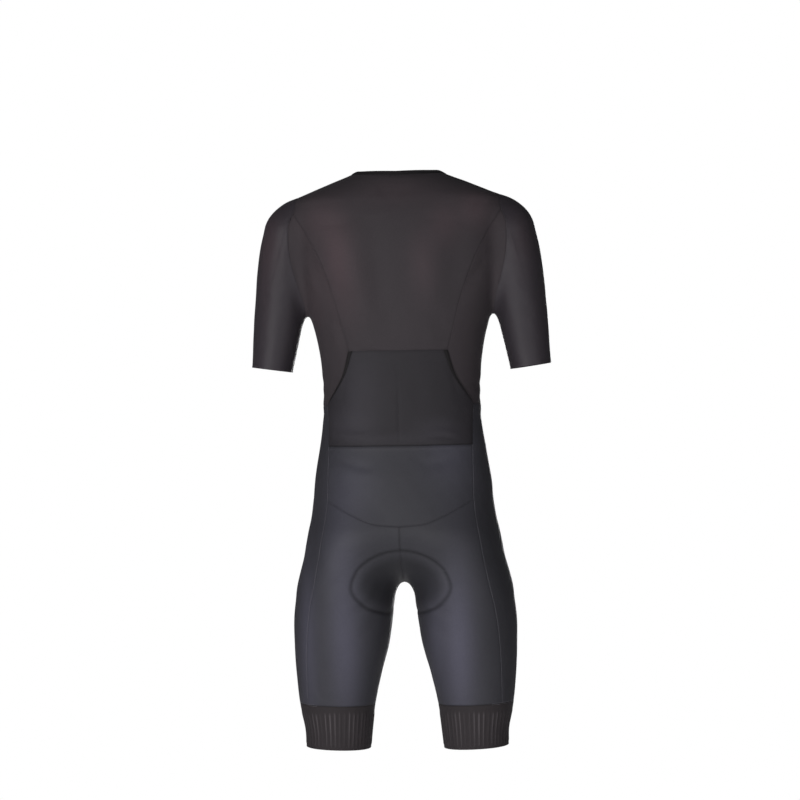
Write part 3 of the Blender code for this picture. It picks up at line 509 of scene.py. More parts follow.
def neck_lines():
    """The neck's edge and the seam under its binding, from the zip to the middle of the back."""
    turn = np.radians(np.arange(0, 180 + TURN_STEP, TURN_STEP))
    down = smooth(NECK_EDGE["turn"], NECK_EDGE["down"], turn)
    start = np.stack([0 * turn, 0 * turn, -down], axis=1)
    edge = cast(start, np.stack([np.sin(turn), -np.cos(turn), 0 * turn], axis=1))
    under = sideways(edge)
    under *= -np.sign(under[:, 2:])
    under[[0, -1], 0] = 0
    seam_line = settle(edge + unit(under) * NECK_BINDING)
    corner = np.abs(turn - NECK_CORNER).argmin()
    drawn = []
    for line in (edge, seam_line):
        past_zip = line[:, 0] > ZIP_HALF
        first = past_zip.argmax()
        share = (ZIP_HALF - line[first - 1, 0]) / (line[first, 0] - line[first - 1, 0])
        start_point = line[first - 1] + share * (line[first] - line[first - 1])
        line = np.vstack([start_point, line[first:]])
        at_corner = corner - first + 1
        line[-1, 0] = 0
        front = evenly(line[: at_corner + 1], ROUND_NECK_FRONT)
        drawn.append((front, evenly(line[at_corner:], ROUND_NECK_BACK)))
    return drawn


def armhole_lines():
    """The armhole's stretches: top to princess seam, under the arm, and up the front to the top."""
    turn = full_turn()

    def onto(points):
        across = smooth(ARMHOLE["down"], ARMHOLE["across"], -points[:, 2])
        return np.column_stack([across, points[:, 1:]])

    ways = np.stack([0 * turn, np.sin(turn), np.cos(turn)], axis=1)
    loop = cast((0, *ARMHOLE_MIDDLE), ways, onto)
    quarter = len(loop) // 4
    behind, ahead = loop[:quarter], loop[-quarter:]
    top = loop[0]
    princess = behind[np.abs(behind[:, 2] + PRINCESS_TOP).argmin()]
    front = ahead[np.abs(ahead[:, 2] + FRONT_SEAM_TOP).argmin()]
    return (
        part_of(loop, top, princess, ARMHOLE_BACK),
        part_of(loop, princess, front, ARMHOLE_UNDER),
        part_of(loop, front, top, ARMHOLE_FRONT),
    )


def level_loop(down):
    """The trunk's section at a height, from the middle of the back round by +X."""
    turn = full_turn()
    ways = np.stack([np.sin(turn), np.cos(turn), 0 * turn], axis=1)
    return cast((0, 0, -down), ways)


def leg_loop(line):
    """A leg's section on a slightly sloping level, from its outer side round by the back."""
    turn = full_turn()
    centre = smooth(LEG["down"], LEG["centre"], np.array([line["outer"]]))[0]
    ways = np.stack([np.cos(turn), np.sin(turn), np.cos(turn) * line["slope"]], axis=1)
    down = line["outer"] + (LEG_EDGE - centre) * line["slope"]
    return cast((centre, 0, -down), ways)


def arm_loop(along, count):
    """The arm's section square to its axis, in as many steps as the armhole, from its top point."""
    turn = full_turn()
    down_arm = np.array((math.sin(ARM_ANGLE), 0, -math.cos(ARM_ANGLE)))
    out_arm = np.array((math.cos(ARM_ANGLE), 0, math.sin(ARM_ANGLE)))
    centre = ARM_ROOT + down_arm * along
    ways = np.outer(np.cos(turn), out_arm) + np.outer(np.sin(turn), (0, 1, 0))
    loop = cast(centre, ways, reach=ARM_REACH)
    return evenly(np.vstack([loop, loop[:1]]), count)


def crotch_line(facing):
    """The middle line under the trunk on one side, from level with the pivot down to the crotch."""
    turn = np.linspace(0, math.pi / 2, QUARTER_POINTS)
    ways = np.stack([0 * turn, facing * np.cos(turn), -np.sin(turn)], axis=1)
    return cast((0, 0, -PIVOT), ways)


def seams():
    """Every seam of the left half, by name, each in even steps from its upper end."""
    found = {}
    (edge_front, edge_back), (neck_front, neck_back) = neck_lines()
    found["neck_edge_front"], found["neck_edge_back"] = edge_front, edge_back
    found["neck_front"], found["neck_back"] = neck_front, neck_back
    armhole_back, armhole_under, armhole_front = armhole_lines()
    found["armhole_back"], found["armhole_under"] = armhole_back, armhole_under
    found["armhole_front"] = armhole_front
    arm_top, princess_top, front_top = armhole_back[0], armhole_under[0], armhole_under[-1]
    plan = np.linspace(neck_back[0], arm_top, LINE_POINTS)
    plan[1:-1, 2] = -SHOULDER_PROBE
    plan[1:-1] = cast(plan[1:-1], np.tile((0.0, 0.0, 1.0), (LINE_POINTS - 2, 1)))
    found["shoulder"] = evenly(plan, ACROSS_SHOULDER)

    pocket_corner = seen(POCKET_TOP, POCKET_CORNER, 1)[0]
    mouth_end = seen(SIDE_WAIST, MOUTH_END, 1)[0]
    back_waist_corner = seen(BACK_WAIST, BACK_WAIST_CORNER, 1)[0]
    yoke_corner = seen(YOKE_CORNER["down"], YOKE_CORNER["across"], 1)[0]
    front_waist_corner = seen(SIDE_WAIST, FRONT_WAIST_CORNER, -1)[0]
    gripper = leg_loop(GRIPPER_TOP)
    quarter = len(gripper) // 4
    behind, ahead = gripper[:quarter], gripper[-quarter:]
    side_back_end = behind[np.abs(behind[:, 0] - SIDE_BACK_END).argmin()]
    side_front_end = ahead[np.abs(ahead[:, 0] - SIDE_FRONT_END).argmin()]
    inner_end = gripper[gripper[:, 0].argmin()]

    def through(start, rows, end, facing, count):
        drawn = seen(rows["down"], rows["across"], facing)
        return seam([start, *drawn, end], count)

    found["princess"] = through(princess_top, PRINCESS, pocket_corner, 1, DOWN_PRINCESS)
    found["mouth"] = through(pocket_corner, MOUTH, mouth_end, 1, DOWN_MOUTH)
    found["pocket_side"] = seam([mouth_end, back_waist_corner], DOWN_POCKET_SIDE)
    found["yoke_side"] = through(back_waist_corner, SIDE_BACK_UPPER, yoke_corner, 1, DOWN_YOKE)
    found["side_back"] = through(yoke_corner, SIDE_BACK_LOWER, side_back_end, 1, DOWN_LEG)
    to_waist = DOWN_PRINCESS + DOWN_MOUTH
    found["front_seam"] = through(front_top, FRONT_SEAM, front_waist_corner, -1, to_waist)
    down_side = DOWN_POCKET_SIDE + DOWN_YOKE + DOWN_LEG
    found["side_front"] = through(front_waist_corner, SIDE_FRONT, side_front_end, -1, down_side)

    half = ROUND_NECK_BACK + ACROSS_SHOULDER
    across = np.linspace(0, 1, half + 1)
    found["pocket_top"] = seen(POCKET_TOP, across * POCKET_CORNER, 1)
    waist = level_loop(BACK_WAIST)
    found["back_waist"] = part_of(waist, waist[0], back_waist_corner, half)
    yoke = seen(YOKE["down"], YOKE["across"], 1)
    found["yoke"] = seam([*yoke, yoke_corner], half)

    side_loop = level_loop(SIDE_WAIST)
    zip_end = seen(SIDE_WAIST, ZIP_HALF, -1)[0]
    found["side_waist"] = part_of(side_loop, mouth_end, front_waist_corner, ARMHOLE_UNDER)
    across_front = ROUND_NECK_FRONT + ACROSS_SHOULDER
    found["front_waist"] = part_of(side_loop, front_waist_corner, zip_end, across_front)
    found["leg_side_top"] = part_of(side_loop, mouth_end, front_waist_corner, ROUND_LEG_SIDE)
    middle_front = side_loop[len(side_loop) // 2]
    found["leg_front_top"] = part_of(side_loop, front_waist_corner, middle_front, ROUND_LEG_FRONT)

    falls = np.linspace(-neck_front[0, 2], SIDE_WAIST, LINE_POINTS)
    zip_line = seen(falls, ZIP_HALF, -1)
    zip_line[0], zip_line[-1] = neck_front[0], zip_end
    found["zip"] = evenly(zip_line, to_waist + ARMHOLE_FRONT)

    centre_back = crotch_line(1)
    crotch = centre_back[-1]
    centre_back = np.vstack([yoke[0], centre_back[centre_back[:, 2] < yoke[0, 2] - MM]])
    inner_centre = smooth(LEG["down"], LEG["centre"], np.array(INNER_LEG))
    inner_start = np.stack([inner_centre, 0 * inner_centre, -np.array(INNER_LEG)], axis=1)
    inner = cast(inner_start, np.tile((-1.0, 0.0, 0.0), (len(INNER_LEG), 1)))
    found["centre_back"] = evenly(centre_back[::-1], DOWN_CROTCH, CROTCH_EASE)[::-1]
    found["inner_leg"] = seam([crotch, *inner, inner_end], DOWN_LEG - DOWN_CROTCH, CROTCH_EASE)
    front_line = seen(np.linspace(SIDE_WAIST, PIVOT, LINE_POINTS), 0.0, -1)
    front_line[0] = middle_front
    centre_front = joined(front_line, crotch_line(-1))
    centre_front[-1] = crotch
    down_centre = down_side - (DOWN_LEG - DOWN_CROTCH)
    found["centre_front"] = evenly(centre_front[::-1], down_centre, CROTCH_EASE)[::-1]

    found["gripper_back"] = part_of(gripper, side_back_end, inner_end, half)
    found["gripper_front"] = part_of(gripper, inner_end, side_front_end, ROUND_LEG_FRONT)
    found["gripper_side"] = part_of(gripper, side_front_end, side_back_end, ROUND_LEG_SIDE)
    return found


# ---------------------------------------------------------------- panels


def places(length, cell):
    """Shares along a side of this length: close together near both its ends, then a cell apart."""
    count = max(round((length - 2 * EDGE_ROWS[-1]) / cell), LEAST_ROWS)
    middle = np.linspace(EDGE_ROWS[-1], length - EDGE_ROWS[-1], count + 1)
    return np.r_[EDGE_ROWS[:-1], middle, length - EDGE_ROWS[-2::-1]] / length


def length_of(line):
    """A line's whole length."""
    return np.linalg.norm(np.diff(line, axis=0), axis=1).sum()


def read(line, shares):
    """A line's points at shares of its steps."""
    return read_at(shares, np.linspace(0, 1, len(line)), line)


def spanned(top, bottom, left, right, u, v):
    """The ruled patch between four sides, at the shares u across and v down."""
    u, v = u[None, :, None], v[:, None, None]
    ruled = (1 - v) * top[None] + v * bottom[None] + (1 - u) * left[:, None] + u * right[:, None]
    at_top, at_bottom = ((1 - u) * line[0] + u * line[-1] for line in (top, bottom))
    return ruled - (1 - v) * at_top - v * at_bottom


def relaxed(grid):
    """The inner points of a grid spread over the figure without folding, its edges held."""
    grid = np.array(grid)
    for _ in range(RELAX_ROUNDS):
        across = (grid[1:-1, 2:] - grid[1:-1, :-2]) / 2
        down = (grid[2:, 1:-1] - grid[:-2, 1:-1]) / 2
        twist = (grid[2:, 2:] - grid[2:, :-2] - grid[:-2, 2:] + grid[:-2, :-2]) / 4
        width, height = (across**2).sum(axis=2, keepdims=True), (down**2).sum(axis=2, keepdims=True)
        skew = (across * down).sum(axis=2, keepdims=True)
        level = height * (grid[1:-1, 2:] + grid[1:-1, :-2])
        upright = width * (grid[2:, 1:-1] + grid[:-2, 1:-1])
        middle = (level + upright - 2 * skew * twist) / (2 * (width + height))
        grid[1:-1, 1:-1] = settle(middle.reshape(-1, 3), NEAR_ROUNDS).reshape(middle.shape)
    return grid


def finer(grid, u, v):
    """A grid's smooth surface read at other shares across and down."""
    rows, columns = grid.shape[:2]
    down = smooth(np.linspace(0, 1, rows), grid.reshape(rows, -1), v).reshape(len(v), columns, 3)
    turned = down.transpose(1, 0, 2).reshape(columns, -1)
    across = smooth(np.linspace(0, 1, columns), turned, u).reshape(len(u), len(v), 3)
    return across.transpose(1, 0, 2)


def panel(top, bottom, left, right, cell, u=None, v=None):
    """A four-sided panel between its seams, as rows from the top, each from left to right."""
    u = places((length_of(top) + length_of(bottom)) / 2, cell) if u is None else u
    v = places((length_of(left) + length_of(right)) / 2, cell) if v is None else v
    sides = [line[::FINE] for line in (top, bottom, left, right)]
    even = [np.linspace(0, 1, len(line)) for line in (sides[0], sides[2])]
    net = finer(relaxed(spanned(*sides, *even)), u, v)
    drawn = spanned(read(top, u), read(bottom, u), read(left, v), read(right, v), u, v)
    own = spanned(net[0], net[-1], net[:, 0], net[:, -1], u, v)
    return on_figure(net + drawn - own)


def on_figure(net):
    """A net moved onto the figure."""
    return settle(net.reshape(-1, 3), NET_ROUNDS).reshape(net.shape)


def panel_outward(net):
    """The way out of the figure at each of a net's points."""
    return outward(net.reshape(-1, 3)).reshape(net.shape)


def run(net, axis):
    """How far each point lies along its row (axis 1) or its column (axis 0)."""
    steps = np.linalg.norm(np.diff(net, axis=axis), axis=2)
    start = np.zeros_like(steps[:1] if axis == 0 else steps[:, :1])
    return np.concatenate([start, np.cumsum(steps, axis=axis)], axis=axis)


def edge_distance(net, sides="tblr"):
    """How far each point lies from the nearest of a panel's sewn sides."""
    along, down = run(net, 1), run(net, 0)
    far = {"t": down, "b": down[-1:] - down, "l": along, "r": along[:, -1:] - along}
    return np.min([far[side] for side in sides], axis=0)


def seam_dip(net, sides="tblr", depth=SEAM_DIP):
    """How far the seams at a panel's sides draw the cloth in."""
    return -depth * np.exp(-((edge_distance(net, sides) / SEAM_WIDTH) ** SEAM_POWER))


def seam_dark_and_shade(net, top=0.0, bottom=0.0, left=0.0, right=0.0):
    """How dark the cloth is painted beside each of a panel's seams, from nought to one: partly the
    seam's own dark line, partly painted shade in its groove.
    """
    dark = [
        share * np.exp(-((edge_distance(net, side) / SEAM_SHADE) ** 2))
        for side, share in zip("tblr", (top, bottom, left, right))
    ]
    return np.max(dark, axis=0)


def between_shares(net, start, end, count):
    """Columns between two distances along each row of a net."""
    along = run(net, 1)
    shares = np.linspace(0, 1, count + 1) if np.isscalar(count) else count
    made = np.empty((len(net), len(shares), 3))
    for row, (line, at) in enumerate(zip(net, along)):
        made[row] = read_at(start[row] + (end[row] - start[row]) * shares, at, line)
    return made


# ---------------------------------------------------------------- folds

FOLD_COLUMNS = "down across end_down end_across bow width depth"
# Each fold: where it starts and ends, seen from its side; how far it bows sideways; its half width
# and its depth, more than nought for a trough and less for a ridge.
FOLDS = {
    "back": table(
        FOLD_COLUMNS,
        (80, 36, 280, 14, 4, 21, 4.0),
        (96, 100, 250, 70, -8, 25, -3.0),
        (90, -62, 236, -58, 8, 24, -2.4),
        (60, -104, 236, -88, -6, 20, 2.0),
        (140, 148, 200, 112, 5, 9, 1.8),
        (150, -148, 194, -118, -4, 8, 1.5),
        (166, 148, 246, 100, 7, 12, -1.3),
        (176, -146, 252, -104, -6, 12, -1.1),
        (60, 152, 98, 114, 3, 9, 1.0),
        (56, -150, 100, -110, -4, 10, 1.1),
        (252, 104, 306, 86, -3, 7, 1.7),
        (262, 118, 300, 104, -3, 6, -0.8),
        (240, 60, 300, 84, 4, 14, 0.8),
        (236, -52, 299, -80, -5, 13, 0.7),
        (296, 84, 310, 2, 4, 6, 1.1),
        (300, -78, 309, -8, -3, 7, 0.8),
        (30, 30, 44, 6, 3, 9, 0.7),
        (28, -34, 44, -4, -3, 9, 0.7),
    ),
    "pocket": table(
        FOLD_COLUMNS,
        (314, 92, 316, 12, 3, 6, 1.0),
        (316, -88, 315, -14, -3, 6, 0.9),
        (330, 88, 398, 96, 6, 8, 0.9),
        (330, -88, 396, -98, -5, 8, 0.9),
        (448, 112, 462, 60, 4, 6, 1.5),
        (440, 104, 447, 52, 4, 7, -0.9),
        (452, -46, 456, -96, -3, 5, 1.3),
        (444, -50, 446, -92, -3, 6, -0.7),
        (396, 106, 440, 84, 6, 10, 0.8),
        (402, -110, 438, -84, -6, 10, 0.8),
        (350, 30, 440, 20, 4, 12, 0.5),
        (352, -34, 436, -22, -3, 12, 0.5),
    ),
    "shorts_back": table(
        FOLD_COLUMNS,
        (482, 104, 500, 40, 5, 8, 0.9),
        (480, -98, 498, -36, -4, 8, 0.8),
        (500, 112, 548, 92, 5, 9, 0.6),
        (700, 34, 748, 96, -7, 8, 1.0),
        (706, -32, 750, -94, 7, 8, 0.9),
        (728, 30, 790, 78, -5, 9, 0.8),
        (733, -30, 788, -80, 5, 9, 0.8),
        (690, 92, 708, 140, 3, 9, 0.5),
        (694, -90, 710, -138, -3, 9, 0.5),
        (880, 128, 896, 74, 3, 7, 0.6),
        (884, -124, 897, -72, -3, 7, 0.6),
        (846, 150, 892, 132, 3, 8, 0.5),
    ),
    "front": table(
        FOLD_COLUMNS,
        (100, 152, 148, 96, 7, 11, 1.5),
        (104, -152, 156, -100, -6, 11, 1.4),
        (138, 150, 206, 92, 6, 13, 1.1),
        (140, -150, 200, -90, -7, 13, 1.2),
        (86, 128, 118, 60, 5, 12, -0.9),
        (190, 120, 292, 96, 6, 15, -0.9),
        (194, -120, 290, -94, -6, 15, -0.9),
        (262, 106, 300, 48, 6, 10, 0.9),
        (286, -104, 318, -44, -5, 10, 0.9),
        (340, 104, 366, 26, 6, 9, 1.2),
        (352, -100, 374, -24, -5, 9, 1.1),
        (374, 92, 386, 16, 4, 7, 0.8),
        (330, -96, 346, -30, -4, 9, -0.7),
        (64, 40, 96, 14, 4, 9, 0.7),
        (66, -38, 98, -14, -4, 9, 0.7),
    ),
    "shorts_front": table(
        FOLD_COLUMNS,
        (404, 100, 418, 24, 5, 8, 1.0),
        (408, -96, 424, -20, -4, 8, 0.9),
        (440, 104, 470, 34, 7, 11, 0.8),
        (446, -102, 474, -30, -6, 11, 0.8),
        (560, 108, 648, 36, 9, 10, 1.4),
        (566, -108, 650, -36, -9, 10, 1.3),
        (586, 118, 690, 44, 9, 12, -0.8),
        (590, -118, 690, -44, -9, 12, -0.8),
        (622, 122, 708, 52, 7, 10, 1.0),
        (628, -120, 706, -50, -7, 10, 1.0),
        (716, 34, 760, 92, -6, 9, 0.8),
        (718, -34, 764, -92, 6, 9, 0.8),
        (878, 128, 898, 78, 3, 7, 0.6),
        (882, -126, 896, -76, -3, 7, 0.6),
    ),
}
# The same seen from a side: across is then how far towards the back.
SIDE_FOLDS = {
    "left": table(
        FOLD_COLUMNS,
        (206, -34, 238, 30, 5, 9, 1.3),
        (226, -40, 262, 38, 6, 11, 1.0),
        (252, 44, 300, 20, 5, 12, 0.8),
        (352, -50, 372, 46, 6, 9, 1.1),
        (372, -44, 386, 40, 4, 8, 0.9),
        (404, -48, 420, 40, 5, 9, 0.9),
        (520, -54, 566, 40, 6, 14, 0.7),
        (700, -50, 742, 44, 6, 13, 0.6),
    ),
    "right": table(
        FOLD_COLUMNS,
        (202, -30, 242, 34, -5, 9, 1.2),
        (230, -42, 258, 36, -5, 11, 1.1),
        (258, 40, 306, 14, -5, 12, 0.8),
        (348, -46, 366, 48, -6, 9, 1.0),
        (374, -42, 390, 44, -4, 8, 1.0),
        (406, -44, 418, 38, -5, 9, 0.8),
        (528, -50, 560, 44, -6, 14, 0.7),
        (706, -46, 738, 46, -6, 13, 0.6),
    ),
}
# On a sleeve: how far down it and how far round it, seen along it from the top's outer line.
SLEEVE_FOLDS = table(
    FOLD_COLUMNS,
    (128, 34, 168, -8, 5, 12, 0.6),
    (158, 36, 206, -4, 6, 13, 0.55),
    (120, -30, 164, 4, -5, 12, 0.5),
    (206, 34, 244, -14, 5, 12, 0.5),
    (196, -34, 240, 6, -5, 12, 0.5),
    (262, 30, 296, -20, 4, 11, 0.4),
    (256, -30, 300, 16, -4, 11, 0.4),
    (100, 8, 190, 4, 3, 16, -0.6),
)
FOLD_TAPER = 0.6  # less than 1 lets a fold start quickly
FOLD_LIP = (0.42, 1.55)  # the lip beside a fold: its height, and how many half widths off it lies
TURNED_AWAY = (0.12, 0.5)  # a fold fades where the cloth turns away from the side it is seen from

# The faint unevenness of worn cloth, as a few soft waves.
RIPPLE_STEP = 46 * MM
RIPPLE_HEIGHT = 0.12 * MM
RIPPLE_WAVES = 5
RIPPLE_SHORTEST = 0.75  # the first wave's share of the step
RIPPLE_LONGER = 0.22  # what each next one adds
RIPPLE_SUM = 2.5  # what the waves' sum is divided by


def eased(low, high, value):
    """A value's share of the way from low to high, soft at both ends."""
    share = np.clip((value - low) / (high - low), 0, 1)
    return share * share * (3 - 2 * share)


def folded(down, across, rows):
    """The relief of a table's folds at places seen from one side."""
    relief = np.zeros_like(down)
    for top, side, end, end_side, bow, width, depth in zip(*rows.values()):
        run_down, run_across = end - top, end_side - side
        length = math.hypot(run_down, run_across)
        share = ((down - top) * run_down + (across - side) * run_across) / length**2
        off = ((across - side) * run_down - (down - top) * run_across) / length
        inside = np.clip(share, 0, 1)
        off = (off - bow * 4 * inside * (1 - inside)) / width
        beyond = (np.abs(share - inside) * length / width) ** 2
        strength = np.sin(math.pi * inside) ** FOLD_TAPER * np.exp(-beyond)
        lip = FOLD_LIP[0] * np.exp(-((off - FOLD_LIP[1]) ** 2))
        relief += -depth * strength * (np.exp(-(off**2)) - lip)
    return relief


def folds(net, normals, back=None, front=None, sides=False):
    """The relief of the folds on a panel, from each side that it can be seen from."""
    across, depth, down = net[..., 0], net[..., 1], -net[..., 2]
    relief = np.zeros(across.shape)
    for name, facing in ((back, 1), (front, -1)):
        if name:
            faces = eased(*TURNED_AWAY, normals[..., 1] * facing)
            relief += faces * folded(down, across, FOLDS[name])
    if sides:
        for name, facing in (("left", 1), ("right", -1)):
            faces = eased(*TURNED_AWAY, normals[..., 0] * facing)
            relief += faces * folded(down, depth, SIDE_FOLDS[name])
    return relief


def ripple(net, name):
    """A panel's faint unevenness: soft waves that cross at odd angles."""
    seed = RIPPLES[name]
    wave = np.zeros(net.shape[:2])
    for turn in range(RIPPLE_WAVES):
        across, depth = math.sin(seed + 2.3 * turn), math.cos(1.7 * seed + turn)
        way = np.array((across, depth, math.sin(0.7 * seed - 1.3 * turn)))
        step = RIPPLE_STEP * (RIPPLE_SHORTEST + RIPPLE_LONGER * turn)
        wave += np.sin(net @ way * (2 * math.pi / step) + seed * (turn + 1))
    return wave * RIPPLE_HEIGHT / RIPPLE_SUM


# ---------------------------------------------------------------- pieces of cloth

TRIM = ("binding", "zip_tape", "gripper_band")  # the finishes of what isn't a panel
# The panels' nets and how high the cloth of each lies over it, for the stitches on them.
LAID = []


def grid_mesh(name, points):
    """The mesh of a net of points; returns it with each vertex's row and column in the net."""
    rows, columns = points.shape[:2]
    bm = bmesh.new()
    bmesh.ops.create_grid(bm, x_segments=columns - 1, y_segments=rows - 1, size=0.5)
    mesh = bpy.data.meshes.new(name)
    bm.to_mesh(mesh)
    bm.free()
    flat = np.empty(3 * len(mesh.vertices))
    mesh.vertices.foreach_get("co", flat)
    flat = flat.reshape(-1, 3) + 0.5
    column = np.rint(flat[:, 0] * (columns - 1)).astype(int)
    row = np.rint(flat[:, 1] * (rows - 1)).astype(int)
    mesh.vertices.foreach_set("co", points[row, column].ravel())
    return mesh, row, column


def unrolled(mesh, net, row, column):
    """Gives a mesh its weave: how far along and down the net each corner lies."""
    along, down = run(net, 1), run(net, 0)
    along = along - along[:, net.shape[1] // 2][:, None]
    corners = np.empty(len(mesh.loops), int)
    mesh.loops.foreach_get("vertex_index", corners)
    laid = np.stack([along[row, column], down[row, column]], axis=1)[corners]
    mesh.uv_layers.new(name="weave").data.foreach_set("uv", laid.ravel())


def faced_out(mesh, drawn, normals):
    """Turns a grid's faces outwards, if its rows and columns run the other way round."""
    row, column = drawn.shape[0] // 2, drawn.shape[1] // 2
    across = drawn[row, column + 1] - drawn[row, column]
    below = drawn[row + 1, column] - drawn[row, column]
    if np.cross(across, below) @ normals[row, column] < 0:
        mesh.flip_normals()


def cloth(name, net, relief, finish, dark_and_shade=0.0, pale=0.0, thick=CLOTH_THICK, closed=False):
    """A net with its relief, made one piece of cloth whose thickness goes inwards."""
    normals = panel_outward(net)
    drawn = net + normals * relief[..., None]
    if finish not in TRIM:
        LAID.append((net.reshape(-1, 3), np.ravel(relief)))
    mesh, row, column = grid_mesh(name, drawn)
    unrolled(mesh, net, row, column)
    # Each point's darkening, partly the seams' own dark lines and partly painted shade, and its
    # paleness, partly stretched cloth and partly painted light.
    for kind, amount in (("dark_and_shade", dark_and_shade), ("pale", pale)):
        amounts = np.broadcast_to(amount, net.shape[:2])[row, column]
        mesh.attributes.new(kind, "FLOAT", "POINT").data.foreach_set("value", amounts)
    faced_out(mesh, drawn, normals)
    if closed:
        bm = bmesh.new()
        bm.from_mesh(mesh)
        bmesh.ops.remove_doubles(bm, verts=bm.verts, dist=MERGED)
        bm.to_mesh(mesh)
        bm.free()
    piece = placed(name, mesh, finish)
    wall = piece.modifiers.new("thickness", "SOLIDIFY")
    wall.thickness = thick
    wall.offset = -1
    return piece


def placed(name, mesh, finish):
    """A mesh as a piece of the suit's own body, with its material."""
    mesh.shade_smooth()
    piece = bpy.data.objects.new(name, mesh)
    bpy.context.scene.collection.objects.link(piece)
    mesh.materials.append(MADE[finish])
    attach(piece, "suit")
    return piece


def stretched(piece, node, **more):
    """Hides the frame's node that a piece stands for."""
    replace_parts(piece, node)


def on_both_sides(name, net, build):
    """The same panel on the wearer's left and right, each built from its own side's net."""
    build(f"{name}_left", net)
    build(f"{name}_right", mirrored(net))


# ---------------------------------------------------------------- paler cloth and painted light

PATCH_COLUMNS = "down across high wide share"
# Where the mesh is painted paler, partly where it is stretched thin over the shoulder blades and
# partly as painted light: each pale patch's middle and reach.
BACK_PALE_AND_PAINTED_LIGHT = table(
    PATCH_COLUMNS,
    (141, 98, 58, 26, 760),
    (84, 128, 36, 34, 520),
    (206, 84, 60, 30, 350),
    (96, -82, 36, 24, 480),
    (160, -46, 52, 22, 420),
    (70, -132, 34, 28, 640),
    (40, 0, 26, 60, 260),
    (215, 142, 74, 18, 300),
)
# Painted highlight on the sleeves: the sheen over the shoulders and down the arms.
SLEEVES_PAINTED_HIGHLIGHT = table(
    PATCH_COLUMNS,
    (112, 216, 60, 22, 420),
    (180, 226, 90, 14, 250),
    (120, -210, 50, 20, 260),
)
# Painted light on the pocket: over its left half and along its lower folds.
POCKET_PAINTED_LIGHT = table(
    PATCH_COLUMNS,
    (372, 66, 70, 34, 420),
    (430, 84, 26, 40, 420),
    (438, -66, 18, 34, 420),
    (452, 0, 10, 90, 200),
)
# Painted highlight on the shorts: the sheen down the thighs and over the seat.
SHORTS_PAINTED_HIGHLIGHT = table(
    PATCH_COLUMNS,
    (800, 96, 120, 27, 850),
    (800, -94, 130, 27, 1000),
    (632, 98, 90, 32, 360),
    (790, 160, 150, 17, 660),
    (790, -54, 80, 17, 460),
    (530, 76, 56, 40, 330),
    (480, -84, 60, 40, 360),
)
PALE_FACING = (-0.1, 0.35)  # a patch fades where the cloth turns away


def patches(net, rows, facing):
    """How pale each point is under soft oval patches seen from the back (facing 1) or the front."""
    shown = eased(*PALE_FACING, panel_outward(net)[..., 1] * facing)
    pale = np.zeros(net.shape[:2])
    for down, across, high, wide, share in zip(*rows.values()):
        far = ((-net[..., 2] - down) / high) ** 2 + ((net[..., 0] - across) / wide) ** 2
        pale += share * np.exp(-far)
    return np.clip(pale * shown, 0, 1)


# ---------------------------------------------------------------- stitching


def repeated(name, ways, middles, finish, around, down):
    """One rounded bead repeated at each of the middles, stretched along its own three ways."""
    bm = bmesh.new()
    bmesh.ops.create_uvsphere(bm, u_segments=around, v_segments=down, radius=1)
    bead, mesh = bpy.data.meshes.new("bead"), bpy.data.meshes.new(name)
    bm.to_mesh(bead)
    round_points = np.array([vert.co for vert in bm.verts])
    for _ in range(len(middles) - 1):
        bm.from_mesh(bead)
    bm.to_mesh(mesh)
    bm.free()
    moved = np.einsum("nij,pj->npi", ways, round_points) + middles[:, None]
    mesh.vertices.foreach_set("co", moved.ravel())
    return placed(name, mesh, finish)


def tree_of(points):
    """A search tree over points."""
    tree = KDTree(len(points))
    for index, point in enumerate(points.tolist()):
        tree.insert(point, index)
    tree.balance()
    return tree


def cloth_under(points):
    """How high the nearest cloth lies over the figure at each of the points."""
    net, relief = (np.concatenate(part) for part in zip(*LAID))
    tree = tree_of(net)
    heights = []
    for point in points:
        near = tree.find_n(point, NEAREST)
        shares = [1 / (far + NEAR_SOFT) for _, _, far in near]
        height = sum(share * relief[index] for share, (_, index, _) in zip(shares, near))
        heights.append(height / sum(shares))
    return np.array(heights)


def stitched(name, rows, finish):
    """Rows of stitches as one piece: each row's line, how far beside it they lie, and how high.

    A row with no height lies on the cloth under it.
    """
    ways, middles, free, ups = [], [], [], []
    for line, aside, rise in rows:
        count = max(round(length_of(line) / sum(STITCH)), 1)
        even = evenly(line, 2 * count)
        middle, along = even[1::2], even[2::2] - even[:-1:2]
        free.append(np.full(count, rise is None))
        heights = np.zeros(len(line)) + (0.0 if rise is None else rise)
        rise = np.interp(np.linspace(0, 1, count), np.linspace(0, 1, len(line)), heights)
        along = unit(along)
        middle = settle(middle + np.cross(outward(middle), along) * aside, NEAR_ROUNDS)
        up = outward(middle)
        side = unit(np.cross(up, along))
        sizes = [side * THREAD, up * THREAD_FLAT * THREAD, along * STITCH[0] / 2]
        ways.append(np.stack(sizes, axis=2))
        middles.append(middle + up * rise[:, None])
        ups.append(up)
    middles, free = np.vstack(middles), np.concatenate(free)
    middles[free] += np.vstack(ups)[free] * (cloth_under(middles[free]) + STITCH_RISE)[:, None]
    return repeated(name, np.vstack(ways), middles, finish, *STITCH_BEAD)


def beside(line, *asides):
    """The rows of stitches that lie beside a seam, on both halves of the suit."""
    halves = ((line, 1), (mirrored(line), -1))
    return [(half, way * aside, None) for aside in asides for half, way in halves]


# ---------------------------------------------------------------- the back and its pocket

BACK_WIDTH = 310 * MM
BACK_LOW_RISE = 0.1 * MM  # the most that the back stands out behind the pocket
# A darker patch below the neck: its middle and its half sizes.
NECK_PATCH = {"down": 6 * MM, "across": -6 * MM, "high": 11 * MM, "wide": 44 * MM}
NECK_PATCH_DARK = 0.55

